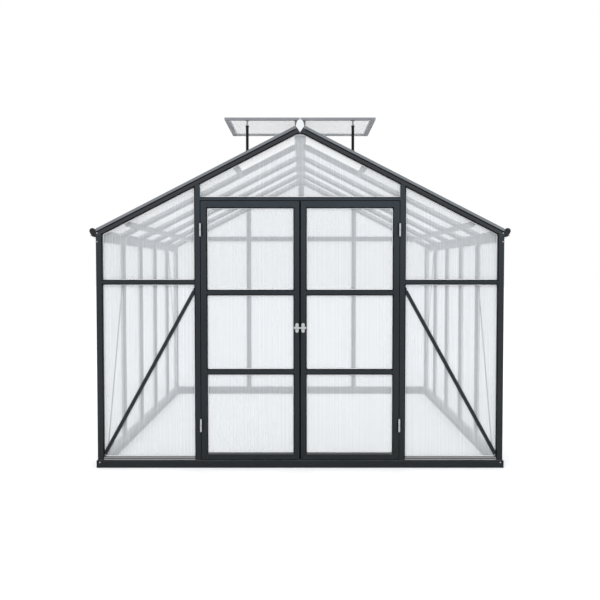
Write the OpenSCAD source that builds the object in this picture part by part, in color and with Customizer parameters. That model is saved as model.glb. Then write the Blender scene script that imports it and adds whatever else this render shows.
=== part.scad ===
// Walk-in greenhouse: an aluminium frame of slotted bars glazed with twin-wall
// polycarbonate sheets, with double doors, two ridge vents held open and gutters.
// Millimetres, +Z up, origin at the middle of the footprint on the ground,
// doors towards -Y.

/* [Overall size] */
// Width over the base rails
base_w = 3050; // [2700:10:3700]
// Length over the base rails
base_l = 3660; // [2900:10:4600]
// Height of the rafters' underside at the outer face of the walls
eave_h = 1721; // [1600:5:2100]
// Slope of the roof in degrees
roof_pitch = 27.1; // [22:0.1:34]
// Number of bays along each side
side_bays = 5; // [4:1:7]

/* [Base and walls] */
// Height of the base rail
base_h = 58; // [40:1:90]
// Metal thickness of the base channel
base_metal = 4; // [3:0.5:8]
// How far the walls stand in from the base's outer face
wall_inset = 8; // [2:1:20]
// Depth of the wall bars, outside to inside
wall_t = 55; // [48:1:70]
// Face width of the corner posts
post_w = 48; // [44:1:70]
// Face width of the door jambs
jamb_w = 42; // [38:1:60]
// Face width of the side studs and the roof bars
stud_w = 36; // [34:1:50]
// How far the side studs stand out past their sheets
stud_lip = 4; // [2:0.5:12]
// Face width of the back studs
back_stud_w = 46; // [34:1:60]
// Face width of the back gable's king post
king_w = 58; // [36:1:80]
// Metal of a corner post's two legs behind the sheets
post_lip = 3.7; // [2.5:0.1:8]
// Height of the sill rails on the base
sill_h = 22; // [20:1:40]
// Bottom of the middle rails beside the doors
mid_rail_z = 1373; // [900:1:1500]
// Height of the middle rails
mid_rail_h = 34; // [32:1:60]
// Face width of the front braces
brace_w = 27; // [18:1:40]
// Depth of the front braces
brace_t = 12; // [6:1:16]
// Width of the front braces' edges, set back from their middle
brace_edge = 6; // [3:0.5:9]
// How far those edges are set back
brace_step = 3; // [1:0.5:5]
// Metal thickness of the flat side braces
side_brace_t = 4; // [3:0.5:8]
// Distance of a front brace's foot from the corner post
brace_foot = 8; // [0:1:25]
// Gap from the corner post to a side brace's foot
side_brace_foot = 4; // [2:1:30]
// From the eave beam down to a side brace's head
side_brace_drop = 30; // [15:1:80]
// Depth of the eave beam below the rafters' underside
beam_drop = 30; // [20:1:60]
// Distance of the back studs from the centre
back_stud_x = 622; // [450:1:800]
// Height of the back tie rails' underside above the eave
tie_up = 96; // [60:1:200]
// Height of the tie rails
tie_h = 50; // [34:1:60]

/* [Bar profile] */
// Width of the stepped shoulder along a glazed edge
step_w = 7; // [3:0.5:10]
// Depth of that shoulder
step_d = 4; // [2:0.5:6]
// Mouth of the bolt slot in a bar's inner face
slot_mouth = 8; // [5:0.5:10]
// Width of the bolt slot behind its mouth
slot_w = 14; // [11:0.5:16]
// Metal over the bolt slot
slot_lip = 2.5; // [2:0.5:4]
// Depth of the bolt slot
slot_d = 9; // [6:0.5:12]

/* [Glazing] */
// Thickness of the sheets
sheet_t = 6; // [4:0.5:10]
// Outer face of a wall bar to the outer face of its sheet
sheet_in = 24; // [18:0.5:28]
// Overlap of a sheet's edge in its groove
sheet_grip = 12; // [6:0.5:13]
// Play on each side of a sheet in its groove
sheet_play = 0.3; // [0.2:0.1:0.8]
// Room past a sheet's edge in its groove
edge_room = 1; // [0.5:0.5:3]

/* [Doorway and doors] */
// Clear width between the jambs
doorway_w = 1488; // [1200:2:1700]
// Drop from the rafters to the header's top, at the jambs' outer faces
header_drop = 73.6; // [20:0.05:250]
// Height of the header
header_h = 24; // [22:1:40]
// Width of the stops behind the doors
stop_w = 14; // [10:1:20]
// Gap between a door and its jamb
jamb_gap = 6; // [5:0.5:10]
// Gap between the two doors
leaf_gap = 14; // [10:1:20]
// Gap under the doors
floor_gap = 5; // [5:0.5:12]
// Gap over the doors
head_gap = 6; // [5:0.5:12]
// Gap between the doors and the stops behind them
stop_gap = 6; // [5:0.5:8]
// Thickness of the doors
leaf_t = 36; // [32:1:40]
// Width of the stile on the hinge side
hinge_stile_w = 48; // [34:1:70]
// Width of the stile where the doors meet
meeting_stile_w = 42; // [34:1:70]
// Height of the top rail
top_rail_h = 52; // [34:1:80]
// Height of the bottom rail
bottom_rail_h = 48; // [34:1:80]
// Height of the two middle rails
door_rail_h = 41; // [34:1:60]
// Bottoms of the two middle rails
door_rail_zs = [700, 1292];
// Outer face of a door to the outer face of its sheets
door_sheet_in = 15; // [12:0.5:18]

/* [Roof] */
// Depth of the rafters and roof bars, square to the slope
rafter_t = 40; // [36:1:50]
// Sheet's outer face below the top of the roof bars
roof_sheet_drop = 8; // [6:0.5:12]
// Height of the shoulder along the gable rafters' lower edges
rafter_step_low = 9; // [5:0.5:12]
// Height of the shoulder along their upper edges
rafter_step_high = 5; // [3:0.5:8]
// Chamfer along the roof bars and purlins
bar_chamfer = 3; // [1:0.5:5]
// How far the roof sheets run past the walls
roof_overhang = 6; // [0:1:12]
// Height of the verge caps on the gable rafters
cap_h = 20; // [10:1:30]
// Width of the verge caps
cap_w = 20; // [12:1:20]
// Lean of the rafters' upper ends from upright, in degrees
ridge_vee = 34; // [30:1:45]
// Half width of the ridge beam's wings, along the slope
ridge_wing = 30; // [26:1:60]
// Half width of the ridge beam's crest
crest_w = 12; // [8:1:18]
// Height of the crest above the rafters' underside at the ridge
crest_h = 92; // [75:1:120]
// How far the crest's lips stand out
crest_lip = 6; // [4:0.5:10]
// Height of the crest's lips
crest_lip_h = 12; // [8:1:16]
// Chamfer of the crest's edges
crest_break = 2; // [1:0.5:3]
// Half width of the flat under the ridge, along the slope
ridge_flat = 6; // [3:1:12]
// Gap between the rafters' ends and the middle of the ridge
ridge_play = 0.5; // [0.2:0.1:2]
// Height of the ridge end caps' side corners above the vee's foot
kite_rise = 40; // [30:1:50]
// How far those corners lap over the verge caps
kite_lap = 4; // [2:0.5:8]
// Neck of the ridge end caps, as a share of their width
kite_neck = 0.72; // [0.6:0.01:0.9]
// Gap under the ridge end caps' lower corners
kite_foot_gap = 1; // [0.5:0.5:3]
// How far the ridge end caps stand out from the gables
kite_out = 1; // [0.5:0.5:3]
// Flat cut of the back gable's sheets beside the king post
king_flat = 24; // [15:1:40]
// Distance of the purlins from the outer faces of the walls
purlin_in = 222; // [120:1:600]
// Width of the purlins
purlin_w = 40; // [25:1:60]
// Depth of the purlins
purlin_t = 28; // [20:1:40]
// How far the gutters stand out from the walls
gutter_out = 46; // [36:1:60]
// Height of the gutters
gutter_h = 66; // [50:1:90]
// Width of the gutters' foot
gutter_foot_w = 25; // [15:1:35]
// Rise of the gutters' foot
gutter_foot_h = 6; // [3:1:12]
// Width of the gutters' rolled lip
gutter_lip_w = 19; // [12:1:24]
// Height of the gutters' back against the eave
gutter_back_h = 25; // [15:1:25]
// Bottom of the gutters above the rafters' underside at the wall
gutter_up = 2; // [1:1:10]
// Metal thickness of the gutters
gutter_metal = 2.5; // [2:0.5:4]
// Thickness of the gutters' end caps
end_cap_t = 3; // [2:0.5:6]
// Rise of the end caps' tops over the gutters
end_cap_rise = 4; // [1:1:8]

/* [Ridge vents] */
// Reach of a vent from the centre
vent_reach = 558; // [450:1:650]
// Thickness of the vent frame
vent_t = 16; // [15:0.5:24]
// Face width of the vent frame's side and back bars
vent_bar = 34; // [28:1:60]
// Face width of its front bar, over the stay
vent_front_bar = 46; // [40:1:60]
// Gap between the two vents at the centre
vent_gap = 4; // [2:0.5:8]
// Gap between a vent's back edge and the middle of the first roof bar
vent_back_gap = 2; // [0:1:10]
// Width of the sill bar that a closed vent meets
vent_sill_w = 44; // [36:1:60]
// How far the sill bar reaches past the vent's own reach
vent_sill_past = 4; // [0:1:15]
// Distance of the stays from the centre
stay_x = 392; // [300:1:430]
// Radius of a stay's tube
stay_r = 10.5; // [8:0.5:11]
// Radius of a stay's rod
rod_r = 5.5; // [3:0.5:7]
// Length of the rod that shows above the tube
rod_out = 38; // [20:1:60]
// Height of the collar on a stay's tube
collar_h = 10; // [6:1:16]
// Length, width and thickness of a stay's foot plate
foot_plate = [52, 30, 3];
// Length, width and thickness of a stay's head plate
head_plate = [28, 26, 3];

/* [Hinges and latch] */
// Radius of the hinge barrels
barrel_r = 8; // [6:0.5:9]
// Length of a hinge barrel
barrel_l = 92; // [70:1:120]
// From the bottom of a door to its lower hinge
low_hinge_up = 210; // [60:1:400]
// From the top of a door to its upper hinge
top_hinge_down = 167; // [60:1:400]
// Radius of the hinge pins
pin_r = 4; // [3:0.5:4.5]
// Play round the hinge pins
pin_play = 0.3; // [0.2:0.1:0.5]
// Hinge axis in front of the doors' face
axis_out = 10; // [9:0.5:14]
// Clearance between a hinge plate and the other half's knuckle
hinge_clear = 0.6; // [0.4:0.1:1]
// How much shorter the hinge pins are than the barrels
pin_short = 8; // [4:1:12]
// Room over the hinge pins
pin_room = 2; // [1:0.5:3]
// Width of the hinge plates past the barrel
plate_w = 9; // [6:0.5:16]
// Thickness of the hinge plates
plate_t = 2.5; // [2:0.5:3]
// Gap between the two knuckles of a hinge
knuckle_gap = 1; // [0.5:0.5:2]
// Height of the latch's middle
latch_z = 1050; // [850:1:1150]
// Height of a latch plate
latch_plate_h = 71; // [50:1:90]
// Width of a latch plate
latch_plate_w = 25; // [18:1:30]
// Thickness of a latch plate
latch_plate_t = 6; // [3:0.5:8]
// Length of the latch bar
latch_bar_l = 92; // [80:1:110]
// Diameter of the latch bar
latch_bar_d = 14; // [10:1:18]
// Gap between the two halves of the latch bar
latch_gap = 5; // [5:0.5:10]

/* [Hidden] */
$fn = 48;
eps = 1;

half_w = base_w / 2 - wall_inset;
half_l = base_l / 2 - wall_inset;
slope = tan(roof_pitch);
slope_cos = cos(roof_pitch);
slope_sin = sin(roof_pitch);
apex_z = eave_h + half_w * slope;
function under(x) = apex_z - abs(x) * slope;

// Grooves: where they start and end behind a bar's face, and how deep they are.
groove_depth = sheet_grip + edge_room;
function groove_start(face) = face - sheet_play;
function groove_end(face) = face + sheet_t + sheet_play;

sill_top = base_h + sill_h;
post_inner_x = half_w - post_w;
jamb_inner_x = doorway_w / 2;
jamb_outer_x = jamb_inner_x + jamb_w;
header_top = under(jamb_outer_x) - header_drop;
header_z = header_top - header_h;
beam_z = eave_h - beam_drop;
tie_z = eave_h + tie_up;
bay = (2 * half_l - wall_t) / side_bays;
function bar_y(i) = -half_l + wall_t / 2 + i * bay;

leaf_hinge_x = jamb_inner_x - jamb_gap;
leaf_meet_x = leaf_gap / 2;
leaf_bottom = base_h + floor_gap;
leaf_top = header_z - head_gap;
hinge_x = jamb_inner_x - jamb_gap / 2;
hinge_zs = [leaf_bottom + low_hinge_up, leaf_top - top_hinge_down - barrel_l];
knuckle_h = (barrel_l - knuckle_gap) / 2;
door_x0 = -leaf_hinge_x + hinge_stile_w;
door_x1 = -leaf_meet_x - meeting_stile_w;
latch_reach = latch_plate_t + latch_bar_d;
front_reach = half_l + max(latch_reach, axis_out + barrel_r);

roof_sheet_v = rafter_t - roof_sheet_drop - sheet_t;
roof_groove_low = roof_sheet_v - sheet_play;
roof_groove_high = roof_sheet_v + sheet_t + sheet_play;
eave_s = half_w / slope_cos;
sheet_end_s = (half_w + roof_overhang) / slope_cos;
vent_sill_s = vent_reach - vent_sill_w / 2 + vent_sill_past;
vent_z = apex_z + crest_h;
vent_back_y = bar_y(1) - vent_back_gap;
room_ends = half_l - wall_t;

frame_colour = "#3f4448";
cap_colour = "#8d9196";
sheet_colour = [0.92, 0.94, 0.95, 0.35];
silver = "#d9dadb";
stay_colour = "#16171a";
end_colour = "#e9eaeb";

// ---- Directions and places ----

// Extrudes a profile along X, with the profile's x along Y and its y along Z.
module along_x(length) {
    rotate([90, 0, 90]) linear_extrude(length) children();
}

// Extrudes a profile along Y, with the profile's x along X and its y along Z.
module along_y(length) {
    translate([0, length, 0]) rotate([90, 0, 0]) linear_extrude(length) children();
}

// The front wall: x across, y inwards from the wall's outer face.
module front_wall() {
    translate([0, -half_l, 0]) children();
}

module back_wall() {
    mirror([0, 1, 0]) front_wall() children();
}

// The left wall: x along the house, y inwards from the wall's outer face.
module left_wall() {
    translate([-half_w, 0, 0]) mirror([1, -1, 0]) children();
}

module right_wall() {
    mirror([1, 0, 0]) left_wall() children();
}

// Sets the middle of the whole house, latch and hinges included, on the origin.
module centred() {
    translate([0, (front_reach - base_l / 2) / 2, 0]) children();
}

module both_sides() {
    children();
    mirror([1, 0, 0]) children();
}

module both_ends() {
    children();
    mirror([0, 1, 0]) children();
}

// The right-hand slope: x down the slope from the ridge, y along the house and
// z square to the slope, from the rafters' underside.
module right_slope() {
    translate([0, 0, apex_z]) rotate([0, roof_pitch, 0]) children();
}

module left_slope() {
    mirror([1, 0, 0]) right_slope() children();
}

// Everything under the rafters' underside.
module under_roof() {
    reach = half_w + eps;
    translate([0, -half_l - eps, 0]) along_y(2 * (half_l + eps))
        polygon([[-reach, 0], [reach, 0], [reach, under(reach)], [0, apex_z], [-reach, under(reach)]]);
}

// ---- Profiles ----

function flipped(points) = [for (i = [len(points) - 1:-1:0]) [-points[i][0], points[i][1]]];

// One side of a bar, from its outer face round to its inner face.
function bar_edge(w, d, face, grooved) = let (step = min(step_d, face / 2)) concat(
    grooved ? [
        [w / 2 - step_w, 0],
        [w / 2 - step_w, step],
        [w / 2, step],
        [w / 2, groove_start(face)],
        [w / 2 - groove_depth, groove_start(face)],
        [w / 2 - groove_depth, groove_end(face)],
        [w / 2, groove_end(face)]
    ] : [[w / 2, 0]],
    [[w / 2, d]]
);

// Half of the bolt slot in a bar's inner face.
function slot_edge(d) = [
    [slot_mouth / 2, d],
    [slot_mouth / 2, d - slot_lip],
    [slot_w / 2, d - slot_lip],
    [slot_w / 2, d - slot_d]
];

// A bar's cross-section: x across its face, y inwards from its outer face.
module bar_profile(w, d, face, right = true, left = true) {
    polygon(concat(
        bar_edge(w, d, face, right), slot_edge(d),
        flipped(concat(bar_edge(w, d, face, left), slot_edge(d)))
    ));
}

// The same without a bolt slot, for rails.
module rail_profile(w, d, face, high = true, low = true) {
    polygon(concat(bar_edge(w, d, face, high), flipped(bar_edge(w, d, face, low))));
}

// A rail of the front or back wall, from x0 to x1, its bottom at z.
module wall_rail(x0, x1, z, h, d, face, high = true, low = true) {
    translate([x0, 0, z + h / 2]) rotate([0, 90, 0]) linear_extrude(x1 - x0)
        mirror([1, 0, 0]) rail_profile(h, d, face, high, low);
}

// A sheet in a wall: x0 to x1 and z0 to z1 are the visible opening.
module wall_sheet(x0, x1, z0, z1, face) {
    translate([x0 - sheet_grip, face, z0 - sheet_grip])
        cube([x1 - x0 + 2 * sheet_grip, sheet_t, z1 - z0 + 2 * sheet_grip]);
}

// A sheet with any outline in x and z.
module outline_sheet(points, face) {
    translate([0, face, 0]) along_y(sheet_t) polygon(points);
}

// ---- Base and sills ----

// Base channel: a C open to the inside, chamfered along its outer top edge.
module base_profile() {
    depth = wall_inset + wall_t;
    chamfer = 5;
    polygon([
        [0, 0], [depth, 0], [depth, base_metal], [base_metal, base_metal],
        [base_metal, base_h - base_metal - chamfer / 2], [base_metal + chamfer / 2, base_h - base_metal],
        [depth, base_h - base_metal], [depth, base_h], [chamfer, base_h], [0, base_h - chamfer]
    ]);
}

// Plan of one base rail of this length, mitred at both ends.
module mitred_plan(length) {
    depth = wall_inset + wall_t;
    translate([0, 0, -eps]) linear_extrude(base_h + 2 * eps)
        polygon([[-length / 2, 0], [length / 2, 0], [length / 2 - depth, depth], [-length / 2 + depth, depth]]);
}

module base_end_rails() {
    color(frame_colour) centred() both_ends() translate([0, -base_l / 2, 0]) intersection() {
        translate([-base_w / 2, 0, 0]) along_x(base_w) base_profile();
        mitred_plan(base_w);
    }
}

module base_side_rails() {
    color(frame_colour) centred() both_sides() translate([-base_w / 2, 0, 0]) intersection() {
        translate([0, -base_l / 2, 0]) along_y(base_l) base_profile();
        mirror([1, -1, 0]) mitred_plan(base_l);
    }
}

module sill_rails() {
    color(frame_colour) centred() {
        both_sides() front_wall()
            wall_rail(jamb_outer_x, post_inner_x, base_h, sill_h, wall_t, sheet_in, low = false);
        back_wall()
            wall_rail(-post_inner_x, post_inner_x, base_h, sill_h, wall_t, sheet_in, low = false);
        both_sides() left_wall()
            wall_rail(-room_ends, room_ends, base_h, sill_h, wall_t, sheet_in, low = false);
    }
}

// ---- Walls ----

// Corner post, an L: x inwards from the side face, y inwards from the end face.
module corner_profile() {
    g0 = groove_start(sheet_in);
    g1 = groove_end(sheet_in);
    leg = g1 + post_lip;
    soft = 2;
    polygon([
        [soft, 0], [post_w - step_w, 0], [post_w - step_w, step_d], [post_w, step_d],
        [post_w, g0], [post_w - groove_depth, g0], [post_w - groove_depth, g1], [post_w, g1],
        [post_w, leg], [leg, leg], [leg, wall_t], [g1, wall_t],
        [g1, wall_t - groove_depth], [g0, wall_t - groove_depth], [g0, wall_t],
        [step_d, wall_t], [step_d, wall_t - step_w], [0, wall_t - step_w], [0, soft]
    ]);
}

module corner_posts() {
    color(frame_colour) centred() both_ends() both_sides() intersection() {
        translate([-half_w, -half_l, base_h]) linear_extrude(eave_h) corner_profile();
        under_roof();
    }
}

// Jamb: a groove for the side sheets, a stop behind the door up to the header,
// and a groove for the gable sheet above it.
module door_jambs() {
    x = jamb_inner_x + jamb_w / 2;
    color(frame_colour) centred() both_sides() front_wall() {
        difference() {
            intersection() {
                translate([x, 0, base_h]) linear_extrude(apex_z)
                    bar_profile(jamb_w, wall_t, sheet_in, left = false);
                translate([0, half_l, 0]) under_roof();
            }
            translate([jamb_inner_x - eps, groove_start(sheet_in), header_top - groove_depth])
                cube([groove_depth + eps, groove_end(sheet_in) - groove_start(sheet_in), apex_z]);
        }
        translate([jamb_inner_x - stop_w, leaf_t + stop_gap, base_h])
            cube([stop_w + eps, wall_t - leaf_t - stop_gap, header_z - base_h]);
    }
}

module door_header() {
    color(frame_colour) centred() front_wall() {
        wall_rail(-jamb_inner_x, jamb_inner_x, header_z, header_h, wall_t, sheet_in, low = false);
        translate([-jamb_inner_x + stop_w, leaf_t + stop_gap, header_z - stop_w])
            cube([2 * (jamb_inner_x - stop_w), wall_t - leaf_t - stop_gap, stop_w + eps]);
    }
}

module front_mid_rails() {
    color(frame_colour) centred() both_sides() front_wall()
        wall_rail(jamb_outer_x, post_inner_x, mid_rail_z, mid_rail_h, wall_t, sheet_in);
}

// Front brace: its lower edge starts on the sill beside the corner post, and its
// upper edge ends just under the corner of the mid rail and the jamb.
module front_braces() {
    run = post_inner_x - jamb_outer_x;
    rise = mid_rail_z - sill_top;
    angle = atan2(rise, run) - asin(brace_w / norm([run, rise]));
    color(frame_colour) centred() both_sides() front_wall() intersection() {
        translate([post_inner_x - brace_foot, sheet_in - sheet_play - brace_t, sill_top])
            rotate([0, angle, 0]) mirror([1, 0, 0])
                translate([-brace_w, 0, 0]) along_x(norm([run, rise]) + 2 * brace_w)
                    polygon([
                        [brace_step, 0], [brace_t, 0], [brace_t, brace_w], [brace_step, brace_w],
                        [brace_step, brace_w - brace_edge], [0, brace_w - brace_edge],
                        [0, brace_edge], [brace_step, brace_edge]
                    ]);
        translate([jamb_outer_x, 0, sill_top]) cube([run, wall_t, rise]);
    }
}

module side_studs() {
    front = sheet_in - stud_lip;
    for (i = [1:side_bays - 1])
        translate([bar_y(i), front, sill_top]) linear_extrude(beam_z - sill_top)
            bar_profile(stud_w, wall_t - front, stud_lip);
}

module side_studs_left() {
    color(frame_colour) centred() left_wall() side_studs();
}

module side_studs_right() {
    color(frame_colour) centred() right_wall() side_studs();
}

// Flat braces on the inner faces of the end bays, from the sill beside the
// corner post to the head of the first stud.
module side_braces() {
    r = sill_h / 2;
    foot = [-room_ends + r + side_brace_foot, base_h + r];
    head = [bar_y(1), beam_z - side_brace_drop];
    color(frame_colour) centred() both_ends() both_sides() left_wall() hull() {
        for (end = [foot, head])
            translate([end[0], wall_t + side_brace_t, end[1]]) rotate([90, 0, 0])
                cylinder(r = r, h = side_brace_t);
    }
}

// Eave beam: its top follows the roof, its underside takes the side sheets.
module eave_beams() {
    g0 = groove_start(sheet_in);
    g1 = groove_end(sheet_in);
    color(frame_colour) centred() both_sides() translate([-half_w, -room_ends, 0]) along_y(2 * room_ends)
        polygon([
            [0, beam_z + step_w], [step_d, beam_z + step_w], [step_d, beam_z], [g0, beam_z],
            [g0, beam_z + groove_depth], [g1, beam_z + groove_depth], [g1, beam_z],
            [wall_t, beam_z], [wall_t, eave_h + wall_t * slope], [0, eave_h]
        ]);
}

module back_studs() {
    color(frame_colour) centred() back_wall() {
        both_sides() intersection() {
            translate([back_stud_x, 0, sill_top]) linear_extrude(apex_z)
                bar_profile(back_stud_w, wall_t, sheet_in);
            translate([0, half_l, 0]) under_roof();
        }
        intersection() {
            translate([0, 0, tie_z + tie_h]) linear_extrude(apex_z)
                bar_profile(king_w, wall_t, sheet_in);
            translate([0, half_l, 0]) under_roof();
        }
    }
}

module back_tie_rails() {
    inner = back_stud_x - back_stud_w / 2;
    outer = back_stud_x + back_stud_w / 2;
    color(frame_colour) centred() back_wall() {
        wall_rail(-inner, inner, tie_z, tie_h, wall_t, sheet_in);
        both_sides() intersection() {
            wall_rail(outer, half_w, tie_z, tie_h, wall_t, sheet_in);
            translate([0, half_l, 0]) under_roof();
        }
    }
}

// ---- Roof ----

// Gable rafter: x inwards from the gable's outer face, y up from the underside.
// It has a groove below for the gable sheets and one inside for the roof sheets.
function rafter_points() = let (
    g0 = groove_start(sheet_in),
    g1 = groove_end(sheet_in)
) [
    [step_d, 0], [g0, 0], [g0, groove_depth], [g1, groove_depth], [g1, 0], [wall_t, 0],
    [wall_t, roof_groove_low], [wall_t - groove_depth, roof_groove_low],
    [wall_t - groove_depth, roof_groove_high], [wall_t, roof_groove_high],
    [wall_t, rafter_t], [step_d, rafter_t], [step_d, rafter_t - rafter_step_high],
    [0, rafter_t - rafter_step_high], [0, rafter_step_low], [step_d, rafter_step_low]
];

// What is left of a slope's end piece after the cuts at the ridge and the eave.
module rafter_limits() {
    translate([0, -half_l - eps, 0]) along_y(wall_t + 2 * eps)
        polygon([
            [ridge_play, 0], [half_w, 0], [half_w, apex_z * 2],
            [ridge_play + apex_z * tan(ridge_vee), apex_z * 2], [ridge_play, apex_z]
        ]);
}

module gable_rafters() {
    both_sides() intersection() {
        right_slope() translate([-rafter_t, -half_l, 0]) along_x(eave_s + 2 * rafter_t)
            polygon(rafter_points());
        rafter_limits();
    }
}

module front_rafters() {
    color(frame_colour) centred() gable_rafters();
}

module back_rafters() {
    color(frame_colour) centred() mirror([0, 1, 0]) gable_rafters();
}

module verge_caps() {
    color(cap_colour) centred() both_ends() both_sides() intersection() {
        right_slope() translate([-rafter_t, -half_l, rafter_t]) along_x(eave_s + 2 * rafter_t)
            polygon([[1, 0], [cap_w, 0], [cap_w, cap_h - 6], [cap_w - 6, cap_h], [1, cap_h]]);
        rafter_limits();
    }
}

// Half of a roof bar's cross-section, from its underside up to its crown.
function roof_bar_edge() = let (edge = stud_w / 2) [
    [edge, 0], [edge, roof_groove_low], [edge - groove_depth, roof_groove_low],
    [edge - groove_depth, roof_groove_high], [edge, roof_groove_high],
    [edge, rafter_t - bar_chamfer], [edge - bar_chamfer, rafter_t]
];

// Roof bars: like the rafters, with a groove on both sides.
module roof_bars() {
    for (i = [1:side_bays - 1]) intersection() {
        right_slope() translate([ridge_wing, bar_y(i), 0]) along_x(eave_s + rafter_t - ridge_wing)
            polygon(concat(roof_bar_edge(), flipped(roof_bar_edge())));
        translate([0, bar_y(i) - stud_w, 0]) cube([half_w, 2 * stud_w, 2 * apex_z]);
    }
}

module roof_bars_left() {
    color(frame_colour) centred() mirror([1, 0, 0]) roof_bars();
}

module roof_bars_right() {
    color(frame_colour) centred() roof_bars();
}

// A point at s down the right-hand slope and v square to it, as x and z.
function slope_point(s, v) = [s * slope_cos + v * slope_sin, apex_z - s * slope_sin + v * slope_cos];

// Ridge beam: wings that take the roof sheets, and a crest that carries the vents.
module ridge_beam() {
    top = apex_z + crest_h;
    lip = crest_w + crest_lip;
    half = [
        slope_point(ridge_wing, 0), slope_point(ridge_wing, roof_groove_low),
        slope_point(ridge_wing - groove_depth, roof_groove_low),
        slope_point(ridge_wing - groove_depth, roof_groove_high),
        slope_point(ridge_wing, roof_groove_high), slope_point(ridge_wing, rafter_t),
        [crest_w + crest_break, top - crest_lip_h - crest_break], [lip, top - crest_lip_h],
        [lip, top - 2 * crest_break], [crest_w, top]
    ];
    flat = slope_point(ridge_flat, 0);
    color(frame_colour) centred() translate([0, -room_ends, 0]) along_y(2 * room_ends)
        polygon(concat([flat], half, flipped(half), [[-flat[0], flat[1]]]));
}

// End piece of the ridge: a kite that fills the vee between the rafters' ends
// and closes the end of the crest.
module ridge_end_caps() {
    top = apex_z + crest_h;
    play = ridge_play + sheet_play;
    foot_z = apex_z + kite_foot_gap;
    vee_top = apex_z + cap_h + rafter_t / 2;
    side = play + kite_rise * tan(ridge_vee) + kite_lap;
    side_z = foot_z + side / tan(ridge_vee) - play;
    neck = side * kite_neck;
    color(end_colour) centred() both_ends() difference() {
        translate([0, -half_l - kite_out, 0]) along_y(wall_t + kite_out)
            polygon([
                [0, foot_z], [side, side_z], [neck, top - crest_lip_h], [crest_w, top],
                [-crest_w, top], [-neck, top - crest_lip_h], [-side, side_z]
            ]);
        both_sides() translate([0, -half_l - 2 * kite_out, 0]) along_y(wall_t + 4 * kite_out)
            polygon([
                [-play, apex_z - eps], [2 * half_w, apex_z - eps], [2 * half_w, vee_top],
                [play + (vee_top - apex_z) * tan(ridge_vee), vee_top], [play, apex_z]
            ]);
    }
}

module purlins() {
    half = purlin_w / 2;
    color(frame_colour) centred() both_sides() right_slope()
        translate([(half_w - purlin_in) / slope_cos, -room_ends, -purlin_t]) along_y(2 * room_ends)
            polygon([
                [-half, bar_chamfer], [-half + bar_chamfer, 0], [half - bar_chamfer, 0],
                [half, bar_chamfer], [half, purlin_t], [-half, purlin_t]
            ]);
}

// Points of the gutter's outside, x outwards from the wall: foot, belly, lip.
function gutter_side() = [
    [gutter_foot_w, gutter_foot_h], [0.83 * gutter_out, 0.42 * gutter_h],
    [gutter_out, 0.67 * gutter_h], [gutter_out - 2, 0.86 * gutter_h]
];

// Gutter: an open trough with a rolled lip.
module gutters() {
    m = gutter_metal;
    side = gutter_side();
    lip_x = gutter_out - gutter_lip_w;
    color(frame_colour) centred() both_sides()
        translate([half_w, -half_l, eave_h + gutter_up]) along_y(2 * half_l)
            polygon(concat(
                [[0, 0]], side,
                [
                    [lip_x + gutter_lip_w / 2, gutter_h - 1], [lip_x, gutter_h],
                    [lip_x, gutter_h - m], [lip_x + gutter_lip_w / 2 - 1, gutter_h - 1 - m]
                ],
                [for (i = [len(side) - 1:-1:0]) side[i] + [-m, i == 0 ? m : 1 - i / 2]],
                [[m, m], [m, gutter_back_h], [0, gutter_back_h]]
            ));
}

module gutter_end_caps() {
    color(frame_colour) centred() both_ends() both_sides()
        translate([half_w, -half_l - end_cap_t, eave_h + gutter_up]) along_y(end_cap_t)
            polygon(concat([[0, 0]], gutter_side(), [
                [gutter_out - gutter_lip_w / 2, gutter_h],
                [gutter_out / 2, gutter_h + end_cap_rise],
                [gutter_out / 4, gutter_h + end_cap_rise / 4], [0, 0.82 * gutter_h]
            ]));
}

// ---- Sheets ----

// Top edge of a gable sheet at x, seated in the rafter's groove.
function sheet_top(x) = under(x) + sheet_grip / slope_cos;

module front_panels() {
    x0 = jamb_outer_x - sheet_grip;
    x1 = post_inner_x + sheet_grip;
    gx = jamb_inner_x + sheet_grip;
    gz = header_top - sheet_grip;
    flat = (sheet_top(0) - apex_z + eps) / slope;
    color(sheet_colour) centred() front_wall() {
        both_sides() {
            wall_sheet(jamb_outer_x, post_inner_x, sill_top, mid_rail_z, sheet_in);
            outline_sheet([
                [x0, mid_rail_z + mid_rail_h - sheet_grip], [x1, mid_rail_z + mid_rail_h - sheet_grip],
                [x1, sheet_top(x1)], [x0, sheet_top(x0)]
            ], sheet_in);
        }
        outline_sheet([
            [-gx, gz], [gx, gz], [gx, sheet_top(gx)], [flat, apex_z - eps],
            [-flat, apex_z - eps], [-gx, sheet_top(gx)]
        ], sheet_in);
    }
}

module side_panels() {
    for (i = [0:side_bays - 1]) {
        a = i == 0 ? -room_ends : bar_y(i) + stud_w / 2;
        b = i == side_bays - 1 ? room_ends : bar_y(i + 1) - stud_w / 2;
        wall_sheet(a, b, sill_top, beam_z, sheet_in);
    }
}

module side_panels_left() {
    color(sheet_colour) centred() left_wall() side_panels();
}

module side_panels_right() {
    color(sheet_colour) centred() right_wall() side_panels();
}

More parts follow.
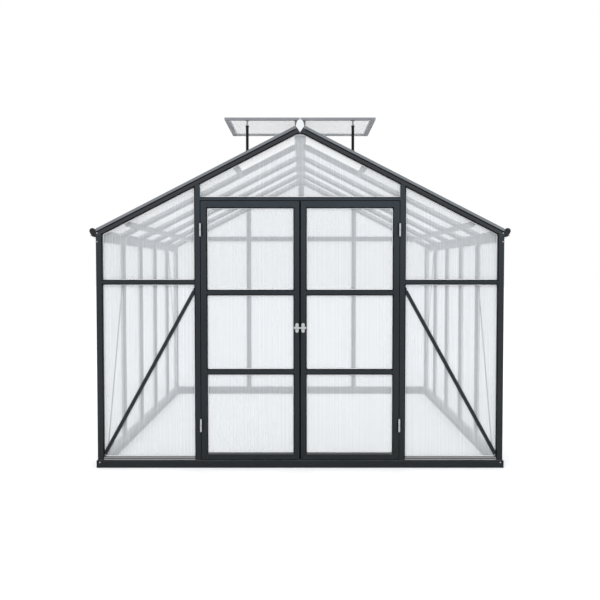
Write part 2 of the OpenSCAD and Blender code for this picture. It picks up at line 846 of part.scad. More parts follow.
module back_panels() {
    inner = back_stud_x - back_stud_w / 2;
    outer = back_stud_x + back_stud_w / 2;
    tie_top = tie_z + tie_h;
    x0 = outer - sheet_grip;
    x1 = post_inner_x + sheet_grip;
    low = sill_top - sheet_grip;
    high = tie_z + sheet_grip;
    up = tie_top - sheet_grip;
    // Where the sheets' tops meet the tie rail's heights.
    x_high = (sheet_top(0) - high) / slope;
    x_up = (sheet_top(0) - up) / slope;
    king = king_w / 2 - sheet_grip;
    color(sheet_colour) centred() back_wall() {
        wall_sheet(-inner, inner, sill_top, tie_z, sheet_in);
        both_sides() {
            outline_sheet([[x0, low], [x1, low], [x1, sheet_top(x1)], [x_high, high], [x0, high]], sheet_in);
            outline_sheet([[x0, up], [x_up, up], [x0, sheet_top(x0)]], sheet_in);
            outline_sheet([
                [king, up], [inner + sheet_grip, up],
                [inner + sheet_grip, sheet_top(inner + sheet_grip)],
                [king + king_flat, sheet_top(king + king_flat)], [king, sheet_top(king + king_flat)]
            ], sheet_in);
        }
    }
}

// Roof sheets: full length, but below the vent in the first bay.
module roof_panels() {
    for (i = [0:side_bays - 1]) {
        a = i == 0 ? -room_ends : bar_y(i) + stud_w / 2;
        b = i == side_bays - 1 ? room_ends : bar_y(i + 1) - stud_w / 2;
        s = i == 0 ? vent_sill_s + vent_sill_w / 2 : ridge_wing;
        right_slope() translate([s - sheet_grip, a - sheet_grip, roof_sheet_v])
            cube([sheet_end_s - s + sheet_grip, b - a + 2 * sheet_grip, sheet_t]);
    }
}

module roof_panels_left() {
    color(sheet_colour) centred() mirror([1, 0, 0]) roof_panels();
}

module roof_panels_right() {
    color(sheet_colour) centred() roof_panels();
}

// ---- Ridge vents ----

// Sill across the first bay, grooved below for the roof sheet.
module vent_sills() {
    w = vent_sill_w / 2;
    color(frame_colour) centred() both_sides() right_slope()
        translate([vent_sill_s, -room_ends, 0]) along_y(bar_y(1) - stud_w / 2 + room_ends)
            polygon([
                [-w, 0], [w, 0], [w, roof_groove_low], [w - groove_depth, roof_groove_low],
                [w - groove_depth, roof_groove_high], [w, roof_groove_high],
                [w, rafter_t - bar_chamfer], [w - bar_chamfer, rafter_t], [-w, rafter_t]
            ]);
}

// What shows between a vent's bars, and a way into their grooves all round.
module vent_light(len_x, len_y, way, height) {
    translate([vent_bar - way, vent_front_bar - way, 0]) cube([
        len_x - 2 * (vent_bar - way), len_y - vent_front_bar - vent_bar + 2 * way, height
    ]);
}

module vent_frames() {
    front = -half_l;
    len_y = vent_back_y - front;
    len_x = vent_reach - vent_gap / 2;
    mid = (vent_t - sheet_t) / 2;
    color(cap_colour) centred() both_sides() translate([vent_gap / 2, front, vent_z]) difference() {
        cube([len_x, len_y, vent_t]);
        translate([0, 0, -eps]) vent_light(len_x, len_y, 0, vent_t + 2 * eps);
        translate([0, 0, mid - sheet_play])
            vent_light(len_x, len_y, groove_depth, sheet_t + 2 * sheet_play);
    }
}

module vent_panels() {
    len_y = vent_back_y + half_l;
    len_x = vent_reach - vent_gap / 2;
    mid = (vent_t - sheet_t) / 2;
    color(sheet_colour) centred() both_sides() translate([vent_gap / 2, -half_l, vent_z + mid])
        vent_light(len_x, len_y, sheet_grip, sheet_t);
}

// Stay: a foot plate on the rafter's cap line, a tube, a collar and a rod up to
// a head plate under the vent.
module vent_stays() {
    y = -half_l + (cap_w + wall_t) / 2 - 1;
    foot_z = under(stay_x) + rafter_t / slope_cos;
    foot_s = (stay_x - rafter_t * slope_sin) / slope_cos;
    tube_top = vent_z - rod_out;
    color(stay_colour) centred() both_sides() {
        difference() {
            translate([stay_x, y, foot_z - rafter_t / 2])
                cylinder(r = stay_r, h = tube_top - foot_z + rafter_t / 2);
            right_slope() translate([0, -half_l, -rafter_t]) cube([eave_s, wall_t, 2 * rafter_t]);
        }
        right_slope() translate([foot_s, y, rafter_t]) plate(foot_plate);
        translate([stay_x, y, tube_top - 2]) cylinder(r = stay_r - 2.5, h = collar_h + 2);
        translate([stay_x, y, tube_top]) cylinder(r = rod_r, h = rod_out);
        translate([stay_x, y + 1, vent_z - head_plate[2]]) plate(head_plate);
    }
}

// A flat plate of this length, width and thickness, centred in plan.
module plate(size) {
    translate([-size[0] / 2, -size[1] / 2, 0]) cube(size);
}

// ---- Doors ----

// The left door stands between these, seen from outside; the right one mirrors it.
module left_door() {
    front_wall() children();
}

module right_door() {
    mirror([1, 0, 0]) front_wall() children();
}

module door_stiles() {
    h = leaf_top - leaf_bottom;
    translate([-leaf_hinge_x + hinge_stile_w / 2, 0, leaf_bottom]) linear_extrude(h)
        bar_profile(hinge_stile_w, leaf_t, door_sheet_in, left = false);
    translate([-leaf_meet_x - meeting_stile_w / 2, 0, leaf_bottom]) linear_extrude(h)
        bar_profile(meeting_stile_w, leaf_t, door_sheet_in, right = false);
}

module door_rails() {
    wall_rail(door_x0, door_x1, leaf_bottom, bottom_rail_h, leaf_t, door_sheet_in, low = false);
    for (z = door_rail_zs)
        wall_rail(door_x0, door_x1, z, door_rail_h, leaf_t, door_sheet_in);
    wall_rail(door_x0, door_x1, leaf_top - top_rail_h, top_rail_h, leaf_t, door_sheet_in, high = false);
}

module door_panels() {
    lows = concat([leaf_bottom + bottom_rail_h], [for (z = door_rail_zs) z + door_rail_h]);
    highs = concat(door_rail_zs, [leaf_top - top_rail_h]);
    for (i = [0:len(lows) - 1])
        wall_sheet(door_x0, door_x1, lows[i], highs[i], door_sheet_in);
}

// One half of a hinge: its knuckle and a plate on the face beside it. side is 1
// towards the door and -1 towards the jamb.
module hinge_half(z, side, knuckle_z) {
    clear = barrel_r + hinge_clear;
    // The knuckle, and its web down to the face.
    translate([-hinge_x, -axis_out, z + knuckle_z]) cylinder(r = barrel_r, h = knuckle_h);
    translate([-hinge_x - (side > 0 ? 0 : barrel_r / 2), -axis_out, z + knuckle_z])
        cube([barrel_r / 2, axis_out, knuckle_h]);
    // The plate, and its arm to the knuckle.
    translate([-hinge_x + (side > 0 ? clear : -clear - plate_w), -plate_t, z])
        cube([plate_w, plate_t, barrel_l]);
    translate([-hinge_x + (side > 0 ? 0 : -clear - eps), -plate_t, z + knuckle_z])
        cube([clear + eps, plate_t, knuckle_h]);
}

module jamb_hinges() {
    color(silver) centred() both_sides() front_wall() for (z = hinge_zs) {
        hinge_half(z, -1, 0);
        translate([-hinge_x, -axis_out, z]) cylinder(r = pin_r, h = barrel_l - pin_short);
    }
}

module door_hinges() {
    for (z = hinge_zs) difference() {
        hinge_half(z, 1, barrel_l - knuckle_h);
        translate([-hinge_x, -axis_out, z])
            cylinder(r = pin_r + pin_play, h = barrel_l - pin_short + pin_room);
    }
}

// Latch: a lobed plate on the meeting stile, a boss, and one half of the bar.
module door_latch() {
    x = -leaf_meet_x - latch_plate_w / 2 - 3;
    r = latch_plate_w / 2;
    bar_r = latch_bar_d / 2;
    hull() for (side = [-1, 1])
        translate([x, 0, latch_z + side * (latch_plate_h / 2 - r)]) rotate([90, 0, 0])
            cylinder(r = r, h = latch_plate_t);
    translate([x, 0, latch_z]) rotate([90, 0, 0]) cylinder(r = r - 2, h = latch_plate_t + bar_r);
    translate([-latch_bar_l / 2 + bar_r, -latch_plate_t - bar_r, latch_z]) {
        rotate([0, 90, 0]) cylinder(r = bar_r, h = (latch_bar_l - latch_gap) / 2 - bar_r);
        sphere(r = bar_r);
    }
}

module door_left_stiles() {
    color(frame_colour) centred() left_door() door_stiles();
}

module door_left_rails() {
    color(frame_colour) centred() left_door() door_rails();
}

module door_left_panels() {
    color(sheet_colour) centred() left_door() door_panels();
}

module door_left_hinges() {
    color(silver) centred() left_door() door_hinges();
}

module door_left_latch() {
    color(silver) centred() left_door() door_latch();
}

module door_right_stiles() {
    color(frame_colour) centred() right_door() door_stiles();
}

module door_right_rails() {
    color(frame_colour) centred() right_door() door_rails();
}

module door_right_panels() {
    color(sheet_colour) centred() right_door() door_panels();
}

module door_right_hinges() {
    color(silver) centred() right_door() door_hinges();
}

module door_right_latch() {
    color(silver) centred() right_door() door_latch();
}

base_end_rails();
base_side_rails();
sill_rails();
corner_posts();
door_jambs();
door_header();
front_mid_rails();
front_braces();
side_studs_left();
side_studs_right();
side_braces();
eave_beams();
gutters();
gutter_end_caps();
back_studs();
back_tie_rails();
front_rafters();
back_rafters();
verge_caps();
roof_bars_left();
roof_bars_right();
ridge_beam();
ridge_end_caps();
purlins();
vent_sills();
front_panels();
side_panels_left();
side_panels_right();
back_panels();
roof_panels_left();
roof_panels_right();
vent_frames();
vent_panels();
vent_stays();
jamb_hinges();
door_left_stiles();
door_left_rails();
door_left_panels();
door_left_hinges();
door_left_latch();
door_right_stiles();
door_right_rails();
door_right_panels();
door_right_hinges();
door_right_latch();
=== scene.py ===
"""Finishes, seals, fittings, light and camera of a walk-in twin-wall greenhouse.

Metres, +Z up, doors towards -Y, the middle of the house on the origin. Every place
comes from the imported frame: bars("node") gives the box of each bar or sheet in it.
What stands on both sides of the house is made on the right-hand side, +X, and mirrored.
"""
import math

import bmesh
import bpy
from mathutils import Matrix, Vector


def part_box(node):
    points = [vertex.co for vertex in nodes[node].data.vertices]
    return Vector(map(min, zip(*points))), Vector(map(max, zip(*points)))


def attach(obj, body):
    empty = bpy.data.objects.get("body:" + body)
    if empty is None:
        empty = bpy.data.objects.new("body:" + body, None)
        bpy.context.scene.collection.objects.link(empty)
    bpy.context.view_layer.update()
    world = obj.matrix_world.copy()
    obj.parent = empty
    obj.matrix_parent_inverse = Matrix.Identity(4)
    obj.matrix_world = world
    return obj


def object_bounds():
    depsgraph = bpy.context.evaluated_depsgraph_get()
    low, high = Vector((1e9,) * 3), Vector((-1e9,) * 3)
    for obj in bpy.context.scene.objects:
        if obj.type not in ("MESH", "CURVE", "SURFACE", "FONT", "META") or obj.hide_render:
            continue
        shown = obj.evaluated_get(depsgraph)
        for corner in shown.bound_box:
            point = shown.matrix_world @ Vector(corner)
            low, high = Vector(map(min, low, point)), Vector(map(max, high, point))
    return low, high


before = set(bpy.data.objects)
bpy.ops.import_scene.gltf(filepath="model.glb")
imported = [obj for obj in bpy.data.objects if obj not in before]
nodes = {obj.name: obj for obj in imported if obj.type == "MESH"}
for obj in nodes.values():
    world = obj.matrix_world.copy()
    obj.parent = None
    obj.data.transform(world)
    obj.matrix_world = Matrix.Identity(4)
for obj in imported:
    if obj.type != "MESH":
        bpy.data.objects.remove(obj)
cad_low, cad_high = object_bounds()
scene = bpy.context.scene

SAME = 1e-6  # points nearer than this are one point


# ---- Reading the frame ----


def bars(node):
    """The (lowest, highest) corners of each separate bar or sheet of a CAD node."""
    loose = bmesh.new()
    loose.from_mesh(nodes[node].data)
    bmesh.ops.remove_doubles(loose, verts=loose.verts, dist=SAME)
    left, found = set(loose.verts), []
    while left:
        seed = left.pop()
        grown, to_follow = {seed}, [seed]
        while to_follow:
            for edge in to_follow.pop().link_edges:
                for vert in edge.verts:
                    if vert in left:
                        left.discard(vert)
                        grown.add(vert)
                        to_follow.append(vert)
        low = Vector([min(v.co[i] for v in grown) for i in range(3)])
        high = Vector([max(v.co[i] for v in grown) for i in range(3)])
        found.append((low, high))
    loose.free()
    return sorted(found, key=lambda b: (round(b[0].y, 3), round(b[0].x, 3), b[0].z))


def points(node):
    """The places of a CAD node's vertices."""
    return [v.co for v in nodes[node].data.vertices]


# ---- Node groups ----


class Board:
    """Adds nodes to one tree and joins them with short calls."""

    def __init__(self, tree):
        self.tree = tree
        self.x = 0

    def node(self, kind, **settings):
        made = self.tree.nodes.new(kind)
        self.x += 170
        made.location = (self.x, 0)
        for name, value in settings.items():
            setattr(made, name, value)
        return made

    def join(self, out, into):
        self.tree.links.new(out, into)

    def feed(self, into, value):
        """Joins another node's output, or sets a constant."""
        if hasattr(value, "is_output"):
            self.join(value, into)
        else:
            into.default_value = value

    def fill(self, made, **values):
        """Joins or sets a node's inputs, named here with _ for a space."""
        for name, value in values.items():
            self.feed(made.inputs[name.replace("_", " ")], value)

    def math(self, operation, a, b=0.0, c=None):
        made = self.node("ShaderNodeMath", operation=operation)
        self.feed(made.inputs[0], a)
        self.feed(made.inputs[1], b)
        if c is not None:
            self.feed(made.inputs[2], c)
        return made.outputs[0]

    def times(self, *factors):
        made = factors[0]
        for factor in factors[1:]:
            made = self.math("MULTIPLY", made, factor)
        return made

    def ramp(self, value, low, high, to_low=0.0, to_high=1.0):
        made = self.node("ShaderNodeMapRange", clamp=True)
        for into, given in zip(made.inputs, (value, low, high, to_low, to_high)):
            self.feed(into, given)
        return made.outputs[0]

    def vary(self, noise, to_low=0.0, to_high=1.0):
        """Spreads the usual range of a noise over two values."""
        return self.ramp(noise, 0.3, 0.7, to_low, to_high)

    def blend(self, share, a, b):
        made = self.node("ShaderNodeMix", data_type="RGBA", blend_type="MIX")
        self.feed(made.inputs[0], share)
        self.feed(made.inputs[6], a)
        self.feed(made.inputs[7], b)
        return made.outputs[2]

    def noise(self, where, scale, detail=3.0, roughness=0.55):
        made = self.node("ShaderNodeTexNoise")
        self.fill(made, Vector=where, Scale=scale, Detail=detail, Roughness=roughness)
        return made.outputs["Fac"]

    def scaled(self, colour, factor):
        made = self.node("ShaderNodeVectorMath", operation="SCALE")
        self.feed(made.inputs[0], colour)
        self.join(factor, made.inputs["Scale"])
        return made.outputs[0]

    def dot(self, a, b):
        made = self.node("ShaderNodeVectorMath", operation="DOT_PRODUCT")
        self.join(a, made.inputs[0])
        self.join(b, made.inputs[1])
        return made.outputs["Value"]

    def axes(self, vector):
        """The X, Y and Z outputs of a vector."""
        made = self.node("ShaderNodeSeparateXYZ")
        self.join(vector, made.inputs[0])
        return made.outputs

    def object_place(self):
        return self.node("ShaderNodeTexCoord").outputs["Object"]

    def surface_normal(self):
        return self.node("ShaderNodeNewGeometry").outputs["Normal"]


def new_group(name, ins, outs):
    """A node group with (name, kind, default) inputs and (name, kind) outputs."""
    group = bpy.data.node_groups.new(name, "ShaderNodeTree")
    for label, kind, value in ins:
        made = group.interface.new_socket(name=label, in_out="INPUT", socket_type=kind)
        made.default_value = value
    for label, kind in outs:
        group.interface.new_socket(name=label, in_out="OUTPUT", socket_type=kind)
    board = Board(group)
    way_in = board.node("NodeGroupInput")
    way_out = board.node("NodeGroupOutput")
    return group, board, way_in.outputs, way_out.inputs


FLOAT, COLOUR, VECTOR = "NodeSocketFloat", "NodeSocketColor", "NodeSocketVector"
DUST = (0.33, 0.32, 0.29, 1)
SHADED_BELOW, SHADE = 0.45, 0.55  # painted shade: the coat's tone falls to SHADE at the ground
PAINTED_LIGHT_FROM, PAINTED_LIGHT_TO = 1.2, 2.0  # painted light: the heights over which a coat is brightened upwards, as if lit more strongly higher up
FLUTE_PITCH = 0.0105


def edge_wear_group():
    """A mask of the outer edges, broken up by noise."""
    group, board, given, out = new_group(
        "edge_wear",
        [("Radius", FLOAT, 0.002), ("Amount", FLOAT, 0.5)],
        [("Mask", FLOAT)],
    )
    soft = board.node("ShaderNodeBevel", samples=4)
    board.fill(soft, Radius=given["Radius"])
    edge = board.ramp(board.dot(soft.outputs[0], board.surface_normal()), 0.995, 0.8)
    broken = board.ramp(board.noise(board.object_place(), 55.0, 4.0), 0.35, 0.62)
    board.join(board.times(edge, broken, given["Amount"]), out["Mask"])
    return group


def coat_group():
    """Powder coat: fine orange peel, faint cloudiness and dust that settles on top, with painted shade that
    darkens it towards the ground and painted light that brightens it higher up.
    """
    group, board, given, out = new_group(
        "powder_coat",
        [("Colour", COLOUR, (0.04, 0.045, 0.05, 1)), ("Dust", FLOAT, 0.3), ("Rise", FLOAT, 0.0)],
        [("Colour", COLOUR), ("Roughness", FLOAT), ("Height", FLOAT)],
    )
    where = board.object_place()
    cloud = board.noise(where, 2.2, 3.0)
    speck = board.noise(where, 420.0, 2.0)
    height = board.axes(where)["Z"]
    # painted shade: the tone darkens towards the ground
    shade = board.ramp(height, 0.0, SHADED_BELOW, SHADE, 1.0)
    mottle = board.math("ADD", board.vary(cloud, 0.9, 1.1), board.vary(speck, -0.05, 0.05))
    # painted light: the tone is brightened towards the top
    higher = board.ramp(height, PAINTED_LIGHT_FROM, PAINTED_LIGHT_TO)
    painted_lift = board.math("MULTIPLY_ADD", higher, given["Rise"], 1.0)
    tone = board.times(mottle, shade, painted_lift)
    settled = board.ramp(board.axes(board.surface_normal())["Z"], 0.35, 0.95)
    patch = board.ramp(board.noise(where, 9.0, 5.0), 0.35, 0.75)
    dusty = board.times(settled, patch, given["Dust"])
    board.join(board.blend(dusty, board.scaled(given["Colour"], tone), DUST), out["Colour"])
    rough = board.math("ADD", board.vary(cloud, 0.36, 0.46), board.times(dusty, 0.4))
    board.join(rough, out["Roughness"])
    board.join(board.times(board.noise(where, 900.0, 1.0), 0.5), out["Height"])
    return group


def flute_group():
    """Twin-wall sheet: upright walls between two skins, seen as fine pale and clear lines."""
    group, board, given, out = new_group(
        "twin_wall_flutes",
        [("Across", VECTOR, (1, 0, 0)), ("Haze", FLOAT, 0.35), ("Contrast", FLOAT, 0.5)],
        [("Alpha", FLOAT), ("Tone", FLOAT), ("Roughness", FLOAT), ("Height", FLOAT)],
    )
    where = board.object_place()
    across = board.dot(where, given["Across"])
    step = board.math("FRACT", board.math("DIVIDE", across, FLUTE_PITCH))
    inside = board.math("ABSOLUTE", board.math("SUBTRACT", step, 0.5))
    rib = board.ramp(inside, 0.36, 0.46)
    drawn = board.node("ShaderNodeCombineXYZ")
    board.join(across, drawn.inputs[0])
    streak = board.noise(drawn.outputs[0], 75.0, 3.0, 0.7)
    cloud = board.noise(where, 1.3, 2.0)
    uneven = board.math("ADD", board.vary(streak, -0.5, 0.5), board.vary(cloud, -0.25, 0.25))
    swing = board.times(board.math("ADD", board.times(rib, 0.8), uneven), given["Contrast"])
    board.join(board.math("MULTIPLY_ADD", swing, 0.16, given["Haze"]), out["Alpha"])
    board.join(board.math("MULTIPLY_ADD", swing, 0.05, 1.0), out["Tone"])
    board.join(board.vary(streak, 0.2, 0.34), out["Roughness"])
    board.join(board.times(inside, inside, 4.0), out["Height"])
    return group


EDGE_WEAR = edge_wear_group()
COAT = coat_group()
FLUTES = flute_group()


# ---- Materials ----

BARE, PALE_BARE = (0.3, 0.31, 0.32, 1), (0.5, 0.51, 0.52, 1)  # the metal under a coat
RUBBED = (0.95, 0.95, 0.95, 1)  # the rubbed edges of bare metal and plastic
BLACK = (0.004, 0.0043, 0.0048, 1)
LIGHT_LET_IN = 0.55  # the share of a sheet's haze that doesn't stop daylight
BARREL_R = 0.008
STAY_MOUTH = 0.038  # how far under the vent frame the stay's tube ends

hinge_x = -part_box("door_left_hinges")[0].x - BARREL_R
stay_mouth_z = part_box("vent_frames")[0].z - STAY_MOUTH


def place_group(board, group, **values):
    made = board.node("ShaderNodeGroup", node_tree=group)
    board.fill(made, **values)
    return made


def new_material(name):
    material = bpy.data.materials.new(name)
    material.use_nodes = True
    tree = material.node_tree
    return material, Board(tree), tree.nodes["Principled BSDF"]


def add_bump(board, shader, height, strength, distance):
    bump = board.node("ShaderNodeBump")
    board.fill(bump, Strength=strength, Distance=distance, Height=height)
    board.fill(shader, Normal=bump.outputs[0])


def coated_metal(name, colour, dust, wear=0.5, bare=BARE, shine=0.45, rise=0.0):
    """Powder-coated aluminium; the metal shows faintly where the edges are rubbed."""
    material, board, shader = new_material(name)
    # rise sets the painted light that brightens the coat towards the top
    coat = place_group(board, COAT, Colour=colour, Dust=dust, Rise=rise)
    edge = place_group(board, EDGE_WEAR, Radius=0.0016, Amount=wear)
    toned = board.blend(edge.outputs["Mask"], coat.outputs["Colour"], bare)
    rough = coat.outputs["Roughness"]
    board.fill(shader, Base_Color=toned, Roughness=rough, Specular_IOR_Level=shine)
    add_bump(board, shader, coat.outputs["Height"], 0.12, 0.0004)
    return material


def satin_metal(name, colour, roughness=0.3, along=(1, 1, 12)):
    """Bare satin metal with fine drawn lines."""
    material, board, shader = new_material(name)
    stretched = board.node("ShaderNodeMapping")
    board.fill(stretched, Vector=board.object_place(), Scale=along)
    grain = board.noise(stretched.outputs[0], 320.0, 3.0)
    edge = place_group(board, EDGE_WEAR, Radius=0.001, Amount=0.6)
    darker = tuple(c * 0.72 for c in colour[:3]) + (1,)
    drawn = board.blend(board.vary(grain), darker, colour)
    toned = board.blend(edge.outputs["Mask"], drawn, RUBBED)
    rough = board.vary(grain, roughness + 0.1, roughness)
    board.fill(shader, Base_Color=toned, Roughness=rough, Metallic=0.55)
    add_bump(board, shader, grain, 0.1, 0.0002)
    return material


def twin_wall(name, across, haze=0.32, tint=(0.79, 0.81, 0.83), contrast=0.42):
    """Translucent twin-wall sheet: a pale haze over whatever stands behind it."""
    material, board, shader = new_material(name)
    flute = place_group(board, FLUTES, Across=across, Haze=haze, Contrast=contrast)
    path = board.node("ShaderNodeLightPath")
    carried = board.math("MAXIMUM", path.outputs["Is Shadow Ray"], path.outputs["Is Diffuse Ray"])
    let_in = board.math("MULTIPLY_ADD", carried, -LIGHT_LET_IN, 1.0)
    toned = board.scaled(tint, flute.outputs["Tone"])
    seen = board.times(flute.outputs["Alpha"], let_in)
    board.fill(shader, Base_Color=toned, Roughness=flute.outputs["Roughness"], Alpha=seen)
    add_bump(board, shader, flute.outputs["Height"], 0.25, 0.0006)
    return material


def hinge_metal(name):
    """Bright barrels between black leaves: the barrels stand on the doors' turning lines."""
    material, board, shader = new_material(name)
    where = board.object_place()
    from_middle = board.math("ABSOLUTE", board.axes(where)["X"])
    off_axis = board.math("ABSOLUTE", board.math("SUBTRACT", from_middle, hinge_x))
    leaf = board.ramp(off_axis, BARREL_R - 0.0016, BARREL_R - 0.001)
    grain = board.noise(where, 240.0, 3.0)
    bright = board.blend(board.vary(grain), (0.40, 0.41, 0.42, 1), (0.52, 0.53, 0.54, 1))
    toned = board.blend(leaf, bright, (0.003, 0.0032, 0.0036, 1))
    metallic = board.math("MULTIPLY_ADD", leaf, -0.55, 0.55)
    rough = board.vary(grain, 0.42, 0.32)
    board.fill(shader, Base_Color=toned, Metallic=metallic, Roughness=rough, Specular_IOR_Level=0.2)
    return material


def stay_metal(name):
    """Black tube below, bright sliding rod above its mouth."""
    material, board, shader = new_material(name)
    coat = place_group(board, COAT, Colour=BLACK, Dust=0.02)
    height = board.axes(board.object_place())["Z"]
    rod = board.ramp(height, stay_mouth_z, stay_mouth_z + 0.0004)
    toned = board.blend(rod, coat.outputs["Colour"], BARE)
    rough = coat.outputs["Roughness"]
    metallic = board.times(rod, 0.5)
    board.fill(shader, Base_Color=toned, Metallic=metallic, Roughness=rough, Specular_IOR_Level=0.15)
    return material


def rubber(name):
    """Black seal with a dull bloom."""
    material, board, shader = new_material(name)
    where = board.object_place()
    bloom = board.ramp(board.noise(where, 40.0, 4.0), 0.4, 0.75)
    toned = board.blend(bloom, (0.003, 0.0033, 0.004, 1), (0.006, 0.0065, 0.0075, 1))
    rough = board.vary(board.noise(where, 130.0, 2.0), 0.6, 0.8)
    board.fill(shader, Base_Color=toned, Roughness=rough, Specular_IOR_Level=0.05)
    return material


def moulded(name, colour):
    """Pale moulded plastic with a fine grain."""
    material, board, shader = new_material(name)
    where = board.object_place()
    cloud = board.noise(where, 6.0, 3.0)
    edge = place_group(board, EDGE_WEAR, Radius=0.0015, Amount=0.3)
    dull = tuple(c * 0.9 for c in colour[:3]) + (1,)
    toned = board.blend(edge.outputs["Mask"], board.blend(board.vary(cloud), dull, colour), RUBBED)
    board.fill(shader, Base_Color=toned, Roughness=board.vary(cloud, 0.39, 0.53))
    add_bump(board, shader, board.noise(where, 700.0, 2.0), 0.15, 0.0003)
    return material


# painted light: rise=1.0 brightens the frame's coat towards the top of the house
frame_coat = coated_metal("frame_coat", (0.0112, 0.0156, 0.0195, 1), 0.2, shine=0.25, rise=1.0)
# painted light: the rafters' coat is a lighter copy of the frame's coat, for the lit top of the house
lit_rafter_coat = coated_metal("lit_rafter_coat", (0.029, 0.032, 0.036, 1), 0.2, shine=0.25)
gutter_coat = coated_metal("gutter_coat", (0.009, 0.012, 0.0145, 1), 0.3, shine=0.25)
verge_coat = coated_metal("verge_coat", (0.17, 0.183, 0.2, 1), 0.15, bare=PALE_BARE)
vent_coat = coated_metal("vent_coat", (0.24, 0.25, 0.27, 1), 0.1, bare=PALE_BARE)
sill_coat = coated_metal("sill_coat", (0.045, 0.049, 0.052, 1), 0.2, shine=0.3)
# painted highlight: a lighter coat for the door's drip bar, where the foot rail's top catches the light
drip_highlight_coat = coated_metal("drip_highlight_coat", (0.10, 0.105, 0.11, 1), 0.1, bare=PALE_BARE)
stay_coat = coated_metal("stay_coat", BLACK, 0.03, wear=0.3, shine=0.15)
end_plastic = moulded("end_plastic", (0.82, 0.83, 0.84, 1))
pale_bead = moulded("pale_bead", (0.93, 0.935, 0.94, 1))
# painted highlight on the sill trim, real bare aluminium on the roof sheets' end strips
end_strip_and_highlight = satin_metal("end_strip_and_highlight", (0.36, 0.365, 0.37, 1), 0.4, along=(12, 12, 1))
zinc = satin_metal("zinc", (0.62, 0.63, 0.64, 1), 0.38, along=(1, 1, 1))
plate_metal = satin_metal("plate_metal", (0.42, 0.43, 0.45, 1), 0.42, along=(1, 1, 1))
door_hinge = hinge_metal("door_hinge")
stay_finish = stay_metal("stay_finish")
hinge_satin = satin_metal("hinge_satin", (0.46, 0.47, 0.48, 1))
latch_satin = satin_metal("latch_satin", (0.56, 0.57, 0.58, 1), along=(12, 1, 1))
seal_rubber = rubber("seal_rubber")
# painted light and shade: one twin-wall sheet, tinted lighter on the roof and darker on the side walls than
# on the gables
gable_sheet = twin_wall("gable_sheet", (1, 0, 0))
shaded_side_sheet = twin_wall("shaded_side_sheet", (0, 1, 0), tint=(0.75, 0.77, 0.785))
lit_roof_sheet = twin_wall("lit_roof_sheet", (0, 1, 0), haze=0.28, tint=(0.93, 0.945, 0.965), contrast=0.2)
vent_sheet = twin_wall("vent_sheet", (0, 1, 0), haze=0.25, tint=(0.80, 0.82, 0.85), contrast=0.3)

FINISHES = (  # every other node has the frame's coat
    (gutter_coat, "gutters gutter_end_caps"),
    (verge_coat, "verge_caps"),
    (lit_rafter_coat, "front_rafters back_rafters"),
    (vent_coat, "vent_frames"),
    (stay_finish, "vent_stays"),
    (sill_coat, "sill_rails"),
    (end_plastic, "ridge_end_caps"),
    (door_hinge, "jamb_hinges door_left_hinges door_right_hinges"),
    (latch_satin, "door_left_latch door_right_latch"),
    (gable_sheet, "front_panels back_panels door_left_panels door_right_panels"),
    (shaded_side_sheet, "side_panels_left side_panels_right"),
    (lit_roof_sheet, "roof_panels_left roof_panels_right"),
    (vent_sheet, "vent_panels"),
)
finish_of = {node: finish for finish, names in FINISHES for node in names.split()}
for name, part in nodes.items():
    part.data.materials.clear()
    part.data.materials.append(finish_of.get(name, frame_coat))


# ---- Shapes for the added pieces ----

CREASE = math.radians(35)  # faces that meet at more than this keep a sharp edge
SPIN = 1.1  # how much further each screw is turned than the one before


def as_data(name, mesh):
    """Moves a bmesh into new mesh data."""
    data = bpy.data.meshes.new(name)
    mesh.to_mesh(data)
    mesh.free()
    return data


def new_object(name, data):
    made = bpy.data.objects.new(name, data)
    scene.collection.objects.link(made)
    return made


def new_piece(name, mesh, finish, body="house"):
    """Makes a finished mesh into a piece that rides on a body."""
    bmesh.ops.recalc_face_normals(mesh, faces=mesh.faces)
    data = as_data(name, mesh)
    data.shade_smooth()
    data.set_sharp_from_angle(angle=CREASE)
    data.materials.append(finish)
    piece = new_object(name, data)
    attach(piece, body)


def soften(mesh, edges, offset, rounds):
    bmesh.ops.bevel(
        mesh, geom=edges, offset=offset, affect="EDGES", segments=rounds, profile=0.5, material=-1
    )


def add_bar(mesh, low, high, soft, rounds=1):
    """A bar between two corners, with its edges eased."""
    made = bmesh.ops.create_cube(mesh, size=1)["verts"]
    low, high = Vector(low), Vector(high)
    bmesh.ops.scale(mesh, verts=made, vec=high - low)
    bmesh.ops.translate(mesh, verts=made, vec=(low + high) / 2)
    edges = list({edge for vert in made for edge in vert.link_edges})
    soften(mesh, edges, soft, rounds)


def master(mesh):
    """Keeps a small mesh to be stamped many times."""
    bmesh.ops.recalc_face_normals(mesh, faces=mesh.faces)
    return as_data("master", mesh)


def stamp(mesh, pattern, place, facing=(0, 0, 1), spin=0.0):
    """Adds a copy of a master at a place, its own +Z turned to the facing direction."""
    turn = Vector((0, 0, 1)).rotation_difference(Vector(facing)).to_matrix().to_4x4()
    copy = pattern.copy()
    copy.transform(Matrix.Translation(place) @ turn @ Matrix.Rotation(spin, 4, "Z"))
    mesh.from_mesh(copy)
    bpy.data.meshes.remove(copy)


def turned(points, steps):
    """A shape turned on a lathe: points are (radius, height) from foot to tip."""
    mesh = bmesh.new()
    line = [mesh.verts.new((r, 0, z)) for r, z in points]
    edges = [mesh.edges.new(pair) for pair in zip(line, line[1:])]
    bmesh.ops.spin(
        mesh, geom=line + edges, cent=(0, 0, 0), axis=(0, 0, 1), angle=math.tau, steps=steps, use_merge=True
    )
    bmesh.ops.remove_doubles(mesh, verts=mesh.verts, dist=SAME)
    return mesh


